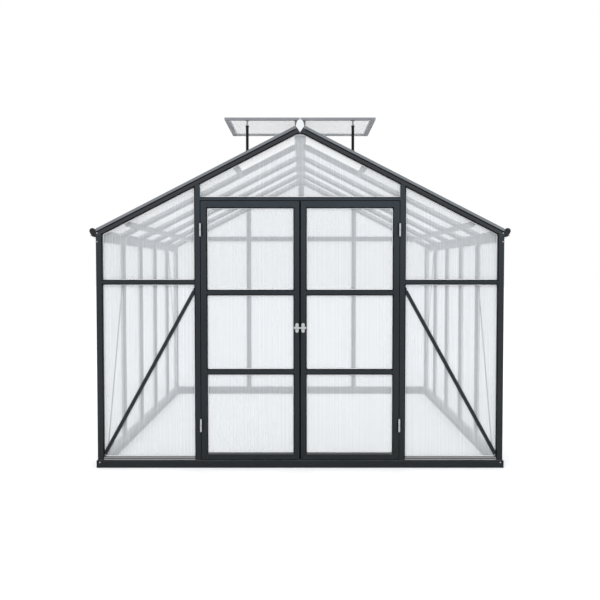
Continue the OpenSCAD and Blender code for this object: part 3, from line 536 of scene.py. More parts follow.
def screw_head(r, h):
    """Pan head of radius r and height h with a sunk socket."""
    return master(turned([
        (0, -0.0006), (r, -0.0006), (r, 0.35 * h), (0.78 * r, 0.85 * h), (0.42 * r, h),
        (0.34 * r, 0.5 * h), (0, 0.45 * h),
    ], 12))


def bolt_and_washer(r):
    """Hexagon bolt head of radius r on its washer."""
    washer_t, head_h = 0.0012, 0.8 * r
    mesh = turned([
        (0, -0.0004), (1.7 * r, -0.0004), (1.75 * r, washer_t / 2), (1.7 * r, washer_t),
        (0, washer_t),
    ], 16)
    bmesh.ops.create_cone(
        mesh, cap_ends=True, segments=6, radius1=r, radius2=0.94 * r,
        depth=head_h, matrix=Matrix.Translation((0, 0, washer_t + head_h / 2)),
    )
    return master(mesh)


def plate(size_x, size_y, thick, corner):
    """A plate lying on Z = 0 with rounded corners and a softened rim."""
    mesh = bmesh.new()
    made = bmesh.ops.create_cube(mesh, size=1)["verts"]
    bmesh.ops.scale(mesh, verts=made, vec=(size_x, size_y, thick))
    bmesh.ops.translate(mesh, verts=made, vec=(0, 0, thick / 2))
    upright = [e for e in mesh.edges if abs((e.verts[0].co - e.verts[1].co).z) > thick / 2]
    soften(mesh, upright, corner, 4)
    rim = [e for e in mesh.edges if all(v.co.z > thick * 0.9 for v in e.verts)]
    soften(mesh, rim, 0.3 * min(thick, corner), 1)
    return master(mesh)


def band(inner, outer, height, steps=20):
    """A ring with eased rims, its middle at the origin."""
    h = height / 2
    lip = min((outer - inner) * 0.4, h * 0.4)
    return master(turned([
        (inner, -h), (outer - lip, -h), (outer, -h + lip), (outer, h - lip), (outer - lip, h),
        (inner, h), (inner, -h),
    ], steps))


def sheet_faces(node, outward):
    """A new bmesh with the face of each sheet of a node that looks outward."""
    mesh = bmesh.new()
    mesh.from_mesh(nodes[node].data)
    bmesh.ops.remove_doubles(mesh, verts=mesh.verts, dist=SAME)
    bmesh.ops.dissolve_limit(mesh, angle_limit=0.01, verts=mesh.verts, edges=mesh.edges)
    spare = [f for f in mesh.faces if f.normal.dot(Vector(outward)) < 0.99]
    bmesh.ops.delete(mesh, geom=spare, context="FACES")
    return mesh


def inset(mesh, width):
    """Insets every face and returns the faces of the new rims."""
    return bmesh.ops.inset_individual(
        mesh, faces=mesh.faces[:], thickness=width, use_even_offset=True
    )["faces"]


def edge_strips(node, outward, start, width, lift, thick):
    """Strips that follow the edges of a node's sheets: start is how far in from a
    sheet's edge they lie, lift how far their foot is from its face."""
    mesh = sheet_faces(node, outward)
    bmesh.ops.delete(mesh, geom=inset(mesh, start), context="FACES")
    kept = set(inset(mesh, width))
    bmesh.ops.delete(mesh, geom=[f for f in mesh.faces if f not in kept], context="FACES")
    bmesh.ops.translate(mesh, verts=mesh.verts, vec=Vector(outward) * lift)
    grown = bmesh.ops.extrude_face_region(mesh, geom=mesh.faces[:])["geom"]
    top = {g for g in grown if isinstance(g, bmesh.types.BMVert)}
    bmesh.ops.translate(mesh, verts=list(top), vec=Vector(outward) * thick)
    crest = [e for e in mesh.edges if set(e.verts) <= top and len(e.link_faces) == 2
             and e.calc_face_angle(0) > 0.5]
    soften(mesh, crest, 0.0007, 1)
    return mesh


def flipped(direction):
    return tuple(-c for c in direction)


def either_way(reach):
    return (-reach, reach)


def evenly(start, end, count):
    """Places from start to end, both counted."""
    return [start + step * (end - start) / (count - 1) for step in range(count)]


# ---- Places read from the frame ----

FRONT, BACK, UP, DOWN = (0, -1, 0), (0, 1, 0), (0, 0, 1), (0, 0, -1)
OUT, INWARD = (1, 0, 0), (-1, 0, 0)
DOOR_GAP = 0.006  # between the doors' tops and the header
EASE = 0.001  # how far a strip stops short of, or runs into, the bar beside it

front_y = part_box("front_mid_rails")[0].y
back_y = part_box("back_studs")[1].y
front_in, back_in = (corner.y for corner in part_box("eave_beams"))
side_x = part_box("corner_posts")[1].x
post_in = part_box("front_mid_rails")[1].x
stud_low, stud_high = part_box("side_studs_right")
jamb_in, jamb_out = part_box("door_header")[1].x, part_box("door_jambs")[1].x
header_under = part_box("door_left_rails")[1].z + DOOR_GAP
stop_y = min(p.y for p in points("door_jambs") if abs(p.x) < jamb_in - EASE)
stop_in = min(abs(p.x) for p in points("door_jambs"))
base_low, base_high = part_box("base_end_rails")
sill_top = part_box("sill_rails")[1].z
beam_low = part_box("eave_beams")[0].z
eave_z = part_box("front_rafters")[0].z
apex_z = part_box("back_studs")[1].z
stud_ys = [(low.y + high.y) / 2 for low, high in bars("side_studs_right")]

pitch = math.atan2(apex_z - eave_z, side_x)
SIN, COS = math.sin(pitch), math.cos(pitch)
roof_out = (SIN, 0, COS)
roof_turn = Matrix.Translation((0, 0, apex_z)) @ Matrix.Rotation(pitch, 4, "Y")


def on_roof(s, y, v):
    """A place on the right slope: s down it from the ridge, y along the house, v out of it."""
    return roof_turn @ Vector((s, y, v))


def roof_span(node):
    """The lowest and highest (s, y, v) of a CAD node on the right slope."""
    back = roof_turn.inverted()
    found = [back @ p for p in points(node) if p.x > 0]
    return [Vector([pick(p[i] for p in found) for i in range(3)]) for pick in (min, max)]


def eave_s(v):
    """The s at which a line along the slope, v out of it, is over the side wall's face."""
    return (side_x - v * SIN) / COS


def on_both_sides(mesh):
    """Adds the mirror image of what was made on the right-hand side."""
    bmesh.ops.mirror(mesh, geom=mesh.verts[:] + mesh.edges[:] + mesh.faces[:], axis="X", merge_dist=0)
    return mesh


def on_both_slopes(mesh):
    """Turns a mesh made in (s, y, v) into the right slope and mirrors it."""
    bmesh.ops.transform(mesh, matrix=roof_turn, verts=mesh.verts)
    return on_both_sides(mesh)


SCREW = screw_head(0.0046, 0.0028)
SMALL_SCREW = screw_head(0.0031, 0.0018)
BOLT = bolt_and_washer(0.0055)


def fixings(name, finish, pattern, spots, body="house"):
    """Copies of one screw or bolt at (place, facing) spots; the house's are mirrored."""
    mesh = bmesh.new()
    for count, (place, facing) in enumerate(spots):
        stamp(mesh, pattern, place, facing, spin=count * SPIN)
    new_piece(name, on_both_sides(mesh) if body == "house" else mesh, finish, body)


# ---- House: seals and beads round the sheets ----

GRIP = 0.012  # a sheet's edge sits this far inside its groove
SHOULDER = 0.004  # how far the bars' stepped edges lie behind their faces
SEAL_W, SEAL_T = 0.004, 0.003
GASKET_W, GASKET_T = 0.0062, 0.0028
BEAD_W, BEAD_T = 0.0055, 0.0022
VERGE_SEAL_H, VERGE_SEAL_T = 0.009, 0.0008
VERGE_SEAL_START, VERGE_SEAL_END = 0.025, 0.002  # from the rafter's head and from the eave


def laid_strips(node, outward, width=SEAL_W, thick=SEAL_T):
    """Strips laid on one face of a node's sheets, along their bars."""
    return edge_strips(node, outward, GRIP, width, 0, thick)


def glazing_beads(node, outward):
    """Pale beads that hold a node's sheets on both faces."""
    beads = laid_strips(node, flipped(outward))
    beads.from_mesh(as_data("beads", laid_strips(node, outward, BEAD_W, BEAD_T)))
    return beads


def gaskets(node, outward, face_depth):
    """Black gaskets on the stepped edges of the bars round a node's sheets."""
    return edge_strips(node, outward, GRIP - GASKET_W, GASKET_W, face_depth - SHOULDER, GASKET_T)


wall_depth = bars("front_panels")[0][0].y - front_y
for wall, outward in (("front", FRONT), ("back", BACK)):
    node = wall + "_panels"
    new_piece(wall + "_gaskets", gaskets(node, outward, wall_depth), seal_rubber)
    new_piece(wall + "_beads", glazing_beads(node, outward), pale_bead)
for side, turn in (("left", -1), ("right", 1)):
    for wall, outward in (("side", (turn, 0, 0)), ("roof", (turn * SIN, 0, COS))):
        node = f"{wall}_panels_{side}"
        new_piece(f"{wall}_seals_{side}", laid_strips(node, outward), seal_rubber)
        new_piece(f"{wall}_beads_{side}", laid_strips(node, flipped(outward)), pale_bead)
new_piece("vent_beads", glazing_beads("vent_panels", UP), pale_bead)

# A black line along the top of the gable rafters' outer faces.
rafter_low, rafter_high = roof_span("front_rafters")
rafter_top = rafter_high[2]
verge_seals = bmesh.new()
for y0, y1 in ((front_y - VERGE_SEAL_T, front_y + EASE), (back_y - EASE, back_y + VERGE_SEAL_T)):
    add_bar(
        verge_seals, (rafter_low[0] + VERGE_SEAL_START, y0, rafter_top - VERGE_SEAL_H),
        (eave_s(rafter_top) - VERGE_SEAL_END, y1, rafter_top), 0.0003,
    )
new_piece("verge_seals", on_both_slopes(verge_seals), seal_rubber)

# ---- House: base and doorway ----

STRIP_FOOT, STRIP_HEAD, STRIP_T = 0.0004, 0.0085, 0.0016  # foot and head from the base's top
SILL_LIP_H, SILL_LIP_DOWN = 0.0068, 0.0002  # both down from the sill's top
SILL_LIP_FRONT, SILL_LIP_BACK = 0.0004, 0.0046
DOOR_SEAL_IN, DOOR_SEAL_T, DOOR_SEAL_D = 0.010, 0.0034, 0.024
STOP_SEAL_W, STOP_SEAL_T = 0.003, 0.0032
STOP_SEALS = (0.0045, 0.0105)  # their outer edges, from the stop's inner edge
STOP_SEAL_FOOT, STOP_SEAL_HEAD = 0.012, 0.016
THRESHOLD_IN, THRESHOLD_H = 0.002, 0.0095
RIDGES, RIDGE_START, RIDGE_PITCH, RIDGE_W = 3, 0.0018, 0.003, 0.0014
RIDGE_FOOT, RIDGE_HEAD = 0.009, 0.0106  # from the base's top

# painted highlight: pale metal strips along the base's top edges and below the sill's top stand in for the
# light those edges catch
highlight_trim = bmesh.new()
foot, head = base_high.z + STRIP_FOOT, base_high.z + STRIP_HEAD
add_bar(highlight_trim, (jamb_out, front_y - STRIP_T, foot), (post_in - EASE, front_y, head), 0.0005)
add_bar(
    highlight_trim, (jamb_out + EASE, front_y + SILL_LIP_FRONT, sill_top - SILL_LIP_H),
    (post_in - EASE, front_y + SILL_LIP_BACK, sill_top - SILL_LIP_DOWN), 0.0005,
)
add_bar(highlight_trim, (side_x, front_in, foot), (side_x + STRIP_T, back_in, head), 0.0005)
on_both_sides(highlight_trim)
add_bar(highlight_trim, (EASE - post_in, back_y, foot), (post_in - EASE, back_y + STRIP_T, head), 0.0005)
new_piece("sill_highlight_trim", highlight_trim, end_strip_and_highlight)

doorway = bmesh.new()
y0 = front_y + DOOR_SEAL_IN
y1 = y0 + DOOR_SEAL_D
add_bar(doorway, (jamb_in - DOOR_SEAL_T, y0, base_high.z + EASE), (jamb_in, y1, header_under), 0.001)
for rise in STOP_SEALS:
    add_bar(
        doorway, (stop_in + rise - STOP_SEAL_W, stop_y - STOP_SEAL_T, base_high.z + STOP_SEAL_FOOT),
        (stop_in + rise, stop_y, header_under - STOP_SEAL_HEAD), 0.0012, 2,
    )
on_both_sides(doorway)
add_bar(doorway, (-jamb_in, y0, header_under - DOOR_SEAL_T), (jamb_in, y1, header_under), 0.001)
new_piece("doorway_seals", doorway, seal_rubber)

threshold = bmesh.new()
step_y = stop_y + THRESHOLD_IN
add_bar(
    threshold, (-stop_in, step_y, base_high.z), (stop_in, front_in, base_high.z + THRESHOLD_H), 0.0015, 2
)
for ridge in range(RIDGES):
    y = step_y + RIDGE_START + ridge * RIDGE_PITCH
    add_bar(
        threshold, (-stop_in, y, base_high.z + RIDGE_FOOT),
        (stop_in, y + RIDGE_W, base_high.z + RIDGE_HEAD), 0.0004,
    )
new_piece("threshold_strip", threshold, sill_coat)

# ---- House: screws, bolts and plates ----

POST_SCREW_IN, SIDE_SCREW_IN = 0.010, 0.012
EAVE_SCREW_UP, EAVE_SCREW_DOWN = 0.0335, 0.031
BASE_SCREW_Z, BASE_SCREW_IN, BASE_SIDE_SCREW_IN, BASE_STUD_SCREW_Z = 0.041, 0.017, 0.030, 0.030
BRACE_FOOT_IN, BRACE_FOOT_UP = 0.009, 0.012  # from the post and the sill
BRACE_HEAD_OUT, BRACE_HEAD_DOWN = 0.012, 0.026  # from the jamb and the brace's top
STUD_SCREW = 0.016  # up from the sill, and down from the eave beam
PLATE_L, PLATE_W, PLATE_T, PLATE_CORNER = 0.086, 0.028, 0.002, 0.006
PLATE_LIFT, PLATE_BOLT = 0.008, 0.028
BRACE_T, BRACE_BOLT_IN, BRACE_BOLT_UP, BRACE_BOLT_DOWN = 0.004, 0.012, 0.034, 0.024
ROOF_BOLT_HEAD, ROOF_BOLT_FOOT = 0.024, 0.095  # from the roof bar's head and foot

brace_low, brace_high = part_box("front_braces")
post_x = side_x - POST_SCREW_IN
up_z, down_z = eave_z + EAVE_SCREW_UP, eave_z - EAVE_SCREW_DOWN
wall_spots = [
    ((post_x, front_y, up_z), FRONT),
    ((post_x, front_y, down_z), FRONT),
    ((side_x - BASE_SCREW_IN, base_low.y, BASE_SCREW_Z), FRONT),
    ((post_in - BRACE_FOOT_IN, brace_low.y, sill_top + BRACE_FOOT_UP), FRONT),
    ((jamb_out + BRACE_HEAD_OUT, brace_low.y, brace_high.z - BRACE_HEAD_DOWN), FRONT),
    ((post_x, back_y, up_z), BACK),
    ((post_x, back_y, down_z), BACK),
    ((base_high.x, base_low.y + BASE_SIDE_SCREW_IN, BASE_SCREW_Z), OUT),
    ((base_high.x, base_high.y - BASE_SIDE_SCREW_IN, BASE_SCREW_Z), OUT),
    ((side_x, front_y + SIDE_SCREW_IN, down_z), OUT),
    ((side_x, back_y - SIDE_SCREW_IN, down_z), OUT),
]
wall_spots += [((base_high.x, y, BASE_STUD_SCREW_Z), OUT) for y in stud_ys]
for z in (sill_top + STUD_SCREW, beam_low - STUD_SCREW):
    wall_spots += [((stud_high.x, y, z), OUT) for y in stud_ys]
fixings("wall_screws", zinc, SCREW, wall_spots)

plates, bolt_spots = bmesh.new(), []
joint_plate = plate(PLATE_L, PLATE_W, PLATE_T, PLATE_CORNER)
plate_face = stud_low.x - PLATE_T
for y in stud_ys:
    for z, lift in ((beam_low, 0), (sill_top, PLATE_LIFT)):
        stamp(plates, joint_plate, (stud_low.x, y, z + lift), INWARD)
        bolt_spots += [((plate_face, y, z + rise), INWARD) for rise in either_way(PLATE_BOLT)]
new_piece("joint_plates", on_both_sides(plates), plate_metal)

# Each side brace has its foot at the house's end and its head nearer the middle.
brace_face = max(p.x for p in points("side_braces")) - BRACE_T
side_low, side_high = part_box("side_braces")
for low, high in bars("side_braces"):
    if low.x > 0:
        inwards = 1 if low.y + high.y < 0 else -1
        foot_y, head_y = (low.y, high.y) if inwards > 0 else (high.y, low.y)
        foot_y += inwards * BRACE_BOLT_IN
        head_y -= inwards * BRACE_BOLT_IN
        bolt_spots.append(((brace_face, foot_y, side_low.z + BRACE_BOLT_UP), INWARD))
        bolt_spots.append(((brace_face, head_y, side_high.z - BRACE_BOLT_DOWN), INWARD))

purlin_low, purlin_high = roof_span("purlins")
bar_low, bar_high = roof_span("roof_bars_right")
for y in stud_ys:
    purlin_mid = on_roof((purlin_low[0] + purlin_high[0]) / 2, y, purlin_low[2])
    bolt_spots.append((purlin_mid, flipped(roof_out)))
    for s in (bar_low[0] + ROOF_BOLT_HEAD, bar_high[0] - ROOF_BOLT_FOOT):
        bolt_spots.append((on_roof(s, y, bar_low[2]), flipped(roof_out)))
fixings("frame_bolts", zinc, BOLT, bolt_spots)

# ---- House: roof covers, sheet ends and gutter brackets ----

COVER_W, COVER_T = 0.029, 0.0045
COVER_START, COVER_END = 0.012, 0.004  # from the roof bar's head and from the eave
COVER_SCREW_IN, COVER_SCREWS = 0.06, 6
END_IN, END_OUT, END_LAP = 0.013, 0.0012, 0.0014  # a strip round a sheet's lower end
VERGE_SCREW_IN, VERGE_SCREWS = 0.09, 5
BRACKET_END, BRACKET_W, BRACKET_T, BRACKET_H = 0.06, 0.018, 0.0024, 0.030
BRACKET_SHORT = 0.008  # how far a bracket's arm stops short of the gutter's edge
WEB_W, WEB_T, WEB_L, WEB_DROP = 0.006, 0.003, 0.030, 0.022
WEB_LEAN = (0.764, 0, 0.645)
BRACKET_ASIDE, BRACKET_DOWN = 0.0058, 0.025
CAP_SCREWS = ((0.010, 0.014), (0.034, 0.012), (0.010, 0.052))  # out from the wall, and up

covers, ends, roof_spots = bmesh.new(), bmesh.new(), []
cover_s0 = bar_low[0] + COVER_START
cover_s1 = eave_s(bar_high[2]) - COVER_END
cover_top = bar_high[2] + COVER_T
for y in stud_ys:
    add_bar(
        covers, (cover_s0, y - COVER_W / 2, bar_high[2]), (cover_s1, y + COVER_W / 2, cover_top), 0.0018, 2
    )
    for s in evenly(cover_s0 + COVER_SCREW_IN, cover_s1 - COVER_SCREW_IN, COVER_SCREWS):
        roof_spots.append((on_roof(s, y, cover_top), roof_out))
sheet_low, sheet_high = roof_span("roof_panels_right")
for low, high in bars("roof_panels_right"):
    add_bar(
        ends, (sheet_high[0] - END_IN, low.y, sheet_low[2] - END_LAP),
        (sheet_high[0] + END_OUT, high.y, sheet_high[2] + END_LAP), 0.0008,
    )
new_piece("roof_bar_covers", on_both_slopes(covers), frame_coat)
new_piece("sheet_end_strips", on_both_slopes(ends), end_strip_and_highlight)

verge_end = roof_span("verge_caps")[1]
first_low, first_high = bars("verge_caps")[0]
half_cap = (first_high.y - first_low.y) / 2
for y in (first_low.y + half_cap, verge_end[1] - half_cap):
    for s in evenly(VERGE_SCREW_IN, verge_end[0] - VERGE_SCREW_IN, VERGE_SCREWS):
        roof_spots.append((on_roof(s, y, verge_end[2]), roof_out))
fixings("roof_screws", zinc, SMALL_SCREW, roof_spots)

gutter_low, gutter_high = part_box("gutters")
gutter_z = gutter_low.z
brackets, gutter_spots = bmesh.new(), []
web = bmesh.new()
add_bar(web, (-WEB_W / 2, -WEB_T / 2, 0), (WEB_W / 2, WEB_T / 2, WEB_L), 0.0006)
web = master(web)
bracket_face = side_x + BRACKET_T
for y in [front_in + BRACKET_END] + stud_ys + [back_in - BRACKET_END]:
    y0, y1 = y - BRACKET_W / 2, y + BRACKET_W / 2
    add_bar(
        brackets, (side_x, y0, gutter_z - BRACKET_T),
        (gutter_high.x - BRACKET_SHORT, y1, gutter_z), 0.0006,
    )
    add_bar(brackets, (side_x, y0, gutter_z - BRACKET_H), (bracket_face, y1, gutter_z), 0.0006)
    stamp(brackets, web, (side_x + EASE, y, gutter_z - WEB_DROP), WEB_LEAN)
    gutter_spots.append(((bracket_face, y - BRACKET_ASIDE, gutter_z - BRACKET_DOWN), OUT))
cap_low, cap_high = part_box("gutter_end_caps")
for y, facing in ((cap_low.y, FRONT), (cap_high.y, BACK)):
    gutter_spots += [((side_x + along, y, gutter_z + rise), facing) for along, rise in CAP_SCREWS]
new_piece("gutter_brackets", on_both_sides(brackets), gutter_coat)
fixings("gutter_screws", stay_coat, SMALL_SCREW, gutter_spots)

# ---- House: vents and stays ----

PIN_R, HALF_HINGE, HINGE_EASE = 0.0034, 0.024, 0.0012
FLAP_T, FLAP_START, FLAP_END = 0.0016, 0.004, 0.017
HINGE_WALL_HEAD, HINGE_WALL_FOOT = 0.003, 0.0115
HINGE_SCREW_OUT, HINGE_SCREW_ALONG = 0.012, 0.015
FRONT_HINGE_IN, REAR_HINGE_IN = 0.06, 0.09
CLEAT_W, CLEAT_L, CLEAT_T, CLEAT_CORNER = 0.018, 0.060, 0.0018, 0.004
CLEAT_SCREW, CLEAT_OUTER_IN = 0.021, 0.039
FRONT_CLEAT = (0.023, 0.075)  # in from the vent frame's end, and from the middle of the house
REAR_CLEAT = (0.017, 0.050)
STAY_FOOT_IN, STAY_FOOT_T = 0.026, 0.003  # the plates at the stay's foot and head
TUBE_R, BAND_GRIP = 0.0105, 0.0006
TOP_BAND, LOW_BAND = (0.0022, 0.009), (0.0026, 0.007)  # how far it stands out, and its height
TOP_BAND_DOWN, LOW_BAND_UP = 0.0052, 0.036
STAY_FOOT_SCREW, STAY_HEAD_SCREW, STAY_HEAD_BACK = 0.0215, 0.0095, 0.001

vent_low, vent_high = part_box("vent_frames")
vent_z = vent_low.z
lip_x = max(p.x for p in points("ridge_beam") if p.z > vent_z - 0.004)
hinges, vent_spots = bmesh.new(), []
knuckle = master(turned([
    (0, -HALF_HINGE), (0.6 * PIN_R, -HALF_HINGE), (PIN_R, HINGE_EASE - HALF_HINGE),
    (PIN_R, -0.0008), (0.85 * PIN_R, 0), (PIN_R, 0.0008),
    (PIN_R, HALF_HINGE - HINGE_EASE), (0.6 * PIN_R, HALF_HINGE), (0, HALF_HINGE),
], 12))
vent_end = vent_high.y
for y in (front_in + FRONT_HINGE_IN, (front_in + vent_end) / 2, vent_end - REAR_HINGE_IN):
    y0, y1 = y - HALF_HINGE, y + HALF_HINGE
    stamp(hinges, knuckle, (lip_x + PIN_R, y, vent_z - PIN_R - 0.0002), BACK)
    add_bar(
        hinges, (lip_x + FLAP_START, y0, vent_z - FLAP_T),
        (lip_x + FLAP_END, y1, vent_z), 0.0004,
    )
    add_bar(
        hinges, (lip_x, y0, vent_z - HINGE_WALL_FOOT),
        (lip_x + FLAP_T, y1, vent_z - HINGE_WALL_HEAD), 0.0004,
    )
    for along in either_way(HINGE_SCREW_ALONG):
        vent_spots.append(((lip_x + HINGE_SCREW_OUT, y + along, vent_z - FLAP_T), DOWN))
new_piece("vent_hinges", on_both_sides(hinges), zinc)

cleats = bmesh.new()
cleat = plate(CLEAT_W, CLEAT_L, CLEAT_T, CLEAT_CORNER)
for y, inner_x in (
    (vent_low.y + FRONT_CLEAT[0], FRONT_CLEAT[1]),
    (vent_end - REAR_CLEAT[0], REAR_CLEAT[1]),
):
    for x in (inner_x, vent_high.x - CLEAT_OUTER_IN):
        stamp(cleats, cleat, (x, y, vent_z), DOWN)
        for along in either_way(CLEAT_SCREW):
            vent_spots.append(((x + along, y, vent_z - CLEAT_T), DOWN))
new_piece("vent_cleats", on_both_sides(cleats), plate_metal)
fixings("vent_screws", zinc, SMALL_SCREW, vent_spots)

stay_low, stay_high = bars("vent_stays")[1]
stay_start, stay_end = roof_span("vent_stays")
foot_s = stay_end[0] - STAY_FOOT_IN
stay_x = foot_s * COS + stay_start[2] * SIN
stay_y = (stay_low.y + stay_high.y) / 2
stay_mid = Vector((stay_x, stay_y))
tube_top = max(
    p.z for p in points("vent_stays")
    if abs((Vector((abs(p.x), p.y)) - stay_mid).length - TUBE_R) < 0.0006 and p.z < vent_z - 0.01
)
collar_z = tube_top - TOP_BAND_DOWN
knob = master(turned([
    (0, 0), (0.0022, 0), (0.0022, 0.004), (0.0062, 0.0045), (0.0068, 0.006), (0.0068, 0.010),
    (0.0055, 0.0118), (0, 0.0125),
], 10))
fittings = bmesh.new()
for (proud, height), z in ((TOP_BAND, collar_z), (LOW_BAND, stay_low.z + LOW_BAND_UP)):
    stamp(fittings, band(TUBE_R - BAND_GRIP, TUBE_R + proud, height), (stay_x, stay_y, z))
stamp(fittings, knob, (stay_x, stay_y + TUBE_R, collar_z), BACK)
new_piece("stay_bands", on_both_sides(fittings), stay_coat)
stay_spots = []
for along in either_way(STAY_FOOT_SCREW):
    stay_spots.append((on_roof(foot_s + along, stay_y, rafter_top + STAY_FOOT_T), roof_out))
for along in either_way(STAY_HEAD_SCREW):
    stay_spots.append(((stay_x + along, stay_y + STAY_HEAD_BACK, vent_z - STAY_FOOT_T), DOWN))
fixings("stay_screws", zinc, SMALL_SCREW, stay_spots)

# ---- Doors ----

MEETING_LAP = 0.005  # how far a leaf's meeting fin reaches past the middle
FIN_T, LEFT_FIN_IN, RIGHT_FIN_IN = 0.006, 0.008, 0.022
LIP_OUT, LIP_IN, LIP_EDGE = 0.003, 0.006, 0.0062  # its depths, and its edge from the middle
BRUSHES = ((0.010, 0.0038), (0.020, 0.0034))  # in from the front, and down from the leaf
BRUSH_T = 0.006
DRIP_T, DRIP_FOOT, DRIP_HEAD = 0.0022, 0.011, 0.0004
RIVET_IN, RIVET_RISE = 0.012, 0.011
HINGE_SCREWS = (0.012, 0.046, 0.080)  # up from the barrel's foot
HINGE_PLATE_OUT, HINGE_PLATE_W = 0.0025, 0.009
LATCH_R, LATCH_T, LATCH_BAR_R, LATCH_IN = 0.0125, 0.006, 0.007, 0.003
LATCH_TIP_L, LATCH_TIP_R, LATCH_SCREW, NOSE_IN = 0.0135, 0.0097, 0.0255, 0.0012

leaf_low, leaf_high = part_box("door_left_stiles")
stile_out, meet_x = -leaf_low.x, -leaf_high.x
hinge_stile, meeting_stile = bars("door_left_stiles")
hinge_stile_in, meeting_in = -hinge_stile[1].x, -meeting_stile[0].x
leaf_depth = bars("door_left_panels")[0][0].y - front_y
rail_boxes = bars("door_left_rails")
rail_zs = sorted((low.z + high.z) / 2 for low, high in rail_boxes)
foot_rail_top = min(high.z for low, high in rail_boxes)
hinge_boxes = bars("door_left_hinges")
barrel_feet = [low.z for low, high in hinge_boxes]
barrel_tops = [high.z for low, high in hinge_boxes]
hinge_y = hinge_boxes[0][0].y + BARREL_R
hinge_face_y = front_y - HINGE_PLATE_OUT
hinge_screw_zs = [foot + rise for foot in barrel_feet for rise in HINGE_SCREWS]
leaf_plate_x = -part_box("door_left_hinges")[1].x + HINGE_PLATE_W / 2
jamb_plate_x = -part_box("jamb_hinges")[0].x - HINGE_PLATE_W / 2
hinge_cap = master(turned([
    (0, 0), (BARREL_R - 0.0008, 0), (BARREL_R - 0.0008, 0.001), (BARREL_R * 0.72, 0.0026),
    (0.003, 0.0034), (0, 0.0036),
], 18))

latch_low, latch_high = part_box("door_left_latch")
latch_z = (latch_low.z + latch_high.z) / 2
latch_end, latch_start = -latch_low.x, -latch_high.x
latch_mid = meet_x + LATCH_IN + LATCH_R
latch_face_y = front_y - LATCH_T
latch_bar_y = latch_low.y + LATCH_BAR_R
tip = turned([
    (0, 0), (0.0068, 0), (0.0072, 0.002), (0.0092, 0.0055), (0.0096, 0.0085), (0.0078, 0.0118),
    (0.0035, 0.0133), (0, LATCH_TIP_L),
], 18)
bmesh.ops.scale(tip, verts=tip.verts, vec=(1, LATCH_BAR_R / LATCH_TIP_R, 1))
latch_tip = master(tip)
latch_collar = band(0.0103, 0.0118, 0.0016)
latch_nose = master(turned([
    (0, 0), (0.0062, 0), (0.0062, 0.0008), (0.0054, 0.0016), (0.0054, 0.0034), (0, 0.0034),
], 16))


def span_x(side, a, b):
    """Two distances from the middle, as lowest and highest x on one side."""
    return sorted((side * a, side * b))


def leaf_seals(body, side):
    """The gaskets and beads of one leaf's sheets, its meeting seal and its foot's brushes."""
    new_piece(body + "_gaskets", gaskets(body + "_panels", FRONT, leaf_depth), seal_rubber, body=body)
    new_piece(body + "_beads", glazing_beads(body + "_panels", FRONT), pale_bead, body=body)
    meeting = bmesh.new()
    # The left leaf's fin lies in front of the right leaf's, so that no light shows between.
    fin_y = front_y + (LEFT_FIN_IN if side < 0 else RIGHT_FIN_IN)
    x0, x1 = span_x(side, -MEETING_LAP, meet_x)
    z0, z1 = leaf_low.z + EASE, leaf_high.z - EASE
    add_bar(meeting, (x0, fin_y, z0), (x1, fin_y + FIN_T, z1), 0.0016, 2)
    x0, x1 = span_x(side, LIP_EDGE, meet_x)
    add_bar(meeting, (x0, front_y + LIP_OUT, z0), (x1, front_y + LIP_IN, z1), 0.0003)
    new_piece(body + "_meeting_seal", meeting, seal_rubber, body=body)
    brush = bmesh.new()
    x0, x1 = span_x(side, meet_x + EASE, stile_out - EASE)
    for depth, drop in BRUSHES:
        y = front_y + depth
        add_bar(brush, (x0, y, leaf_low.z - drop), (x1, y + BRUSH_T, leaf_low.z), 0.0007)
    new_piece(body + "_brush_strip", brush, seal_rubber, body=body)


def leaf_trim(body, side):
    """The drip bar on one leaf's foot rail, coated lighter as a painted highlight of the rail's top edge,
    and the rivets behind its corners.
    """
    drip = bmesh.new()
    x0, x1 = span_x(side, meeting_in, hinge_stile_in)
    add_bar(
        drip, (x0 + EASE, front_y - DRIP_T, foot_rail_top - DRIP_FOOT),
        (x1 - EASE, front_y, foot_rail_top - DRIP_HEAD), 0.0009, 2,
    )
    new_piece(body + "_drip_bar", drip, drip_highlight_coat, body)
    spots = [
        ((side * x, leaf_high.y, z + rise), BACK)
        for z in rail_zs
        for x in (meeting_in - RIVET_IN, hinge_stile_in + RIVET_IN)
        for rise in either_way(RIVET_RISE)
    ]
    fixings(body + "_corner_rivets", stay_coat, SMALL_SCREW, spots, body)


def leaf_hinges(body, side):
    """The screws and top caps of one leaf's hinges."""
    spots = [((side * leaf_plate_x, hinge_face_y, z), FRONT) for z in hinge_screw_zs]
    fixings(body + "_hinge_screws", stay_coat, SMALL_SCREW, spots, body)
    caps = bmesh.new()
    for z in barrel_tops:
        stamp(caps, hinge_cap, (side * hinge_x, hinge_y, z))
    new_piece(body + "_hinge_caps", caps, hinge_satin, body)


def leaf_latch(body, side):
    """The tip, collar, nose and screws of one half of the latch."""
    plate_x = side * latch_mid
    tips = bmesh.new()
    stamp(tips, latch_tip, (side * (latch_end - LATCH_TIP_L), latch_bar_y, latch_z), (side, 0, 0))
    stamp(tips, latch_collar, (plate_x, latch_face_y, latch_z), FRONT)
    stamp(tips, latch_nose, (side * (latch_start + NOSE_IN), latch_bar_y, latch_z), (-side, 0, 0))
    new_piece(body + "_latch_tip", tips, latch_satin, body)
    spots = [((plate_x, latch_face_y, latch_z + rise), FRONT) for rise in either_way(LATCH_SCREW)]
    fixings(body + "_latch_screws", zinc, SMALL_SCREW, spots, body)


for body, side in (("door_left", -1), ("door_right", 1)):
    leaf_seals(body, side)
    leaf_trim(body, side)
    leaf_hinges(body, side)
    leaf_latch(body, side)

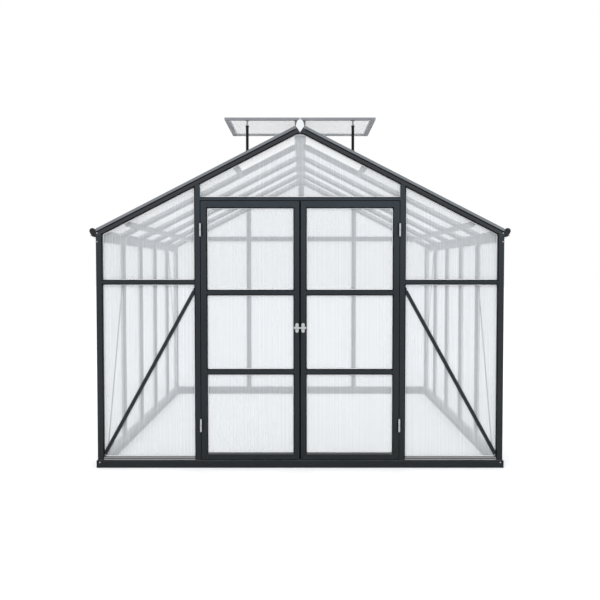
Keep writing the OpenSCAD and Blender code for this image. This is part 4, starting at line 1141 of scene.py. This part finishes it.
jamb_spots = [((jamb_plate_x, hinge_face_y, z), FRONT) for z in hinge_screw_zs]
fixings("jamb_hinge_screws", stay_coat, SMALL_SCREW, jamb_spots)
washers, jamb_caps = bmesh.new(), bmesh.new()
washer = band(0.0052, BARREL_R + 0.0004, 0.0026, 24)
for foot, top in zip(barrel_feet, barrel_tops):
    stamp(washers, washer, (hinge_x, hinge_y, (foot + top) / 2))
    stamp(jamb_caps, hinge_cap, (hinge_x, hinge_y, foot), DOWN)
new_piece("hinge_washers", on_both_sides(washers), seal_rubber)
new_piece("jamb_hinge_caps", on_both_sides(jamb_caps), hinge_satin)


# ---- Stage ----

FLOOR_R, FLOOR_DROP = 60, 0.0015
FLOOR_LIFT, FAR_LIFT, INDOOR_LIFT = 0.28, 0.21, 0.20  # the glow of the floor where it is seen, lower indoors as painted shade
FAR_FROM, FAR_TO = 2.5, 8.0  # where the floor's glow falls behind the house
INDOORS_FROM, INDOORS_TO = 0.12, 0.02  # in from the house's outer faces: where the painted shadow under the house is full, and where it fades out
SKY_LIGHT = 0.8


def white_when_seen(board):
    """1 for the camera, gloss and clear rays, so that the ground reads white."""
    path = board.node("ShaderNodeLightPath")
    seen = board.math("MAXIMUM", path.outputs["Is Camera Ray"], path.outputs["Is Glossy Ray"])
    return board.math("MAXIMUM", seen, path.outputs["Is Transmission Ray"])


def floor_material():
    material, board, shader = new_material("pale_floor")
    where = board.object_place()
    axes = board.axes(where)
    within = [
        board.ramp(board.math("ABSOLUTE", axes[axis]), edge - INDOORS_FROM, edge - INDOORS_TO, 1.0, 0.0)
        for axis, edge in (("X", cad_high.x), ("Y", cad_high.y))
    ]
    # painted shadow: inside the house's footprint the floor is darker and glows less
    indoor_shadow = board.times(*within)
    mottle = board.vary(board.noise(where, 3.0, 3.0), 0.79, 0.81)
    toned = board.math("MULTIPLY_ADD", indoor_shadow, -0.05, mottle)
    outdoors = board.ramp(axes["Y"], FAR_FROM, FAR_TO, FLOOR_LIFT, FAR_LIFT)
    change = board.math("SUBTRACT", INDOOR_LIFT, outdoors)
    lift = board.math("MULTIPLY_ADD", indoor_shadow, change, outdoors)
    glow = board.times(white_when_seen(board), lift)
    board.fill(shader, Base_Color=toned, Roughness=0.9, Specular_IOR_Level=0.1)
    board.fill(shader, Emission_Color=(1, 1, 1, 1), Emission_Strength=glow)
    return material


floor_mesh = bmesh.new()
bmesh.ops.create_circle(floor_mesh, cap_ends=True, segments=96, radius=FLOOR_R)
bmesh.ops.translate(floor_mesh, verts=floor_mesh.verts, vec=(0, 0, -FLOOR_DROP))
floor = new_object("floor", as_data("floor", floor_mesh))
floor.data.materials.append(floor_material())

world = bpy.data.worlds.new("studio")
scene.world = world
world.use_nodes = True
world.node_tree.nodes.clear()
sky = Board(world.node_tree)


def backdrop(colour, strength):
    made = sky.node("ShaderNodeBackground")
    sky.fill(made, Color=colour, Strength=strength)
    return made.outputs[0]


either = sky.node("ShaderNodeMixShader")
sky.join(white_when_seen(sky), either.inputs[0])
sky.join(backdrop((0.96, 0.98, 1.0, 1), SKY_LIGHT), either.inputs[1])
sky.join(backdrop((1, 1, 1, 1), 1.0), either.inputs[2])
sky.join(either.outputs[0], sky.node("ShaderNodeOutputWorld").inputs["Surface"])


def sun(name, strength, turn, tilt, spread):
    """A sun, its angles in degrees: tilted from overhead, then turned about Z."""
    lamp = bpy.data.lights.new(name, "SUN")
    lamp.energy = strength
    lamp.angle = math.radians(spread)
    held = new_object(name, lamp)
    held.rotation_euler = (math.radians(tilt), 0, math.radians(turn))


sun("key", 0.9, -32, 48, 25)
sun("fill", 0.5, 40, 62, 50)
sun("back", 0.5, 170, 40, 50)

# ---- Camera ----

EYE_HEIGHT = 1.4925
EYE_DISTANCE = 6.02  # from the front wall's face
EYE_SIDE = 0.0233
EYE_DOWN = 2.232  # degrees
LENS, SHIFT_X = 48.57, -0.00533

camera = bpy.data.cameras.new("camera")
camera.sensor_width = 36
camera.lens = LENS
camera.shift_x = SHIFT_X
camera.clip_end = 200
eye = new_object("camera", camera)
eye.location = (EYE_SIDE, front_y - EYE_DISTANCE, EYE_HEIGHT)
eye.rotation_euler = (math.radians(90 - EYE_DOWN), 0, 0)
scene.camera = eye

scene.view_settings.view_transform = "Standard"
scene.cycles.transparent_max_bounces = 32
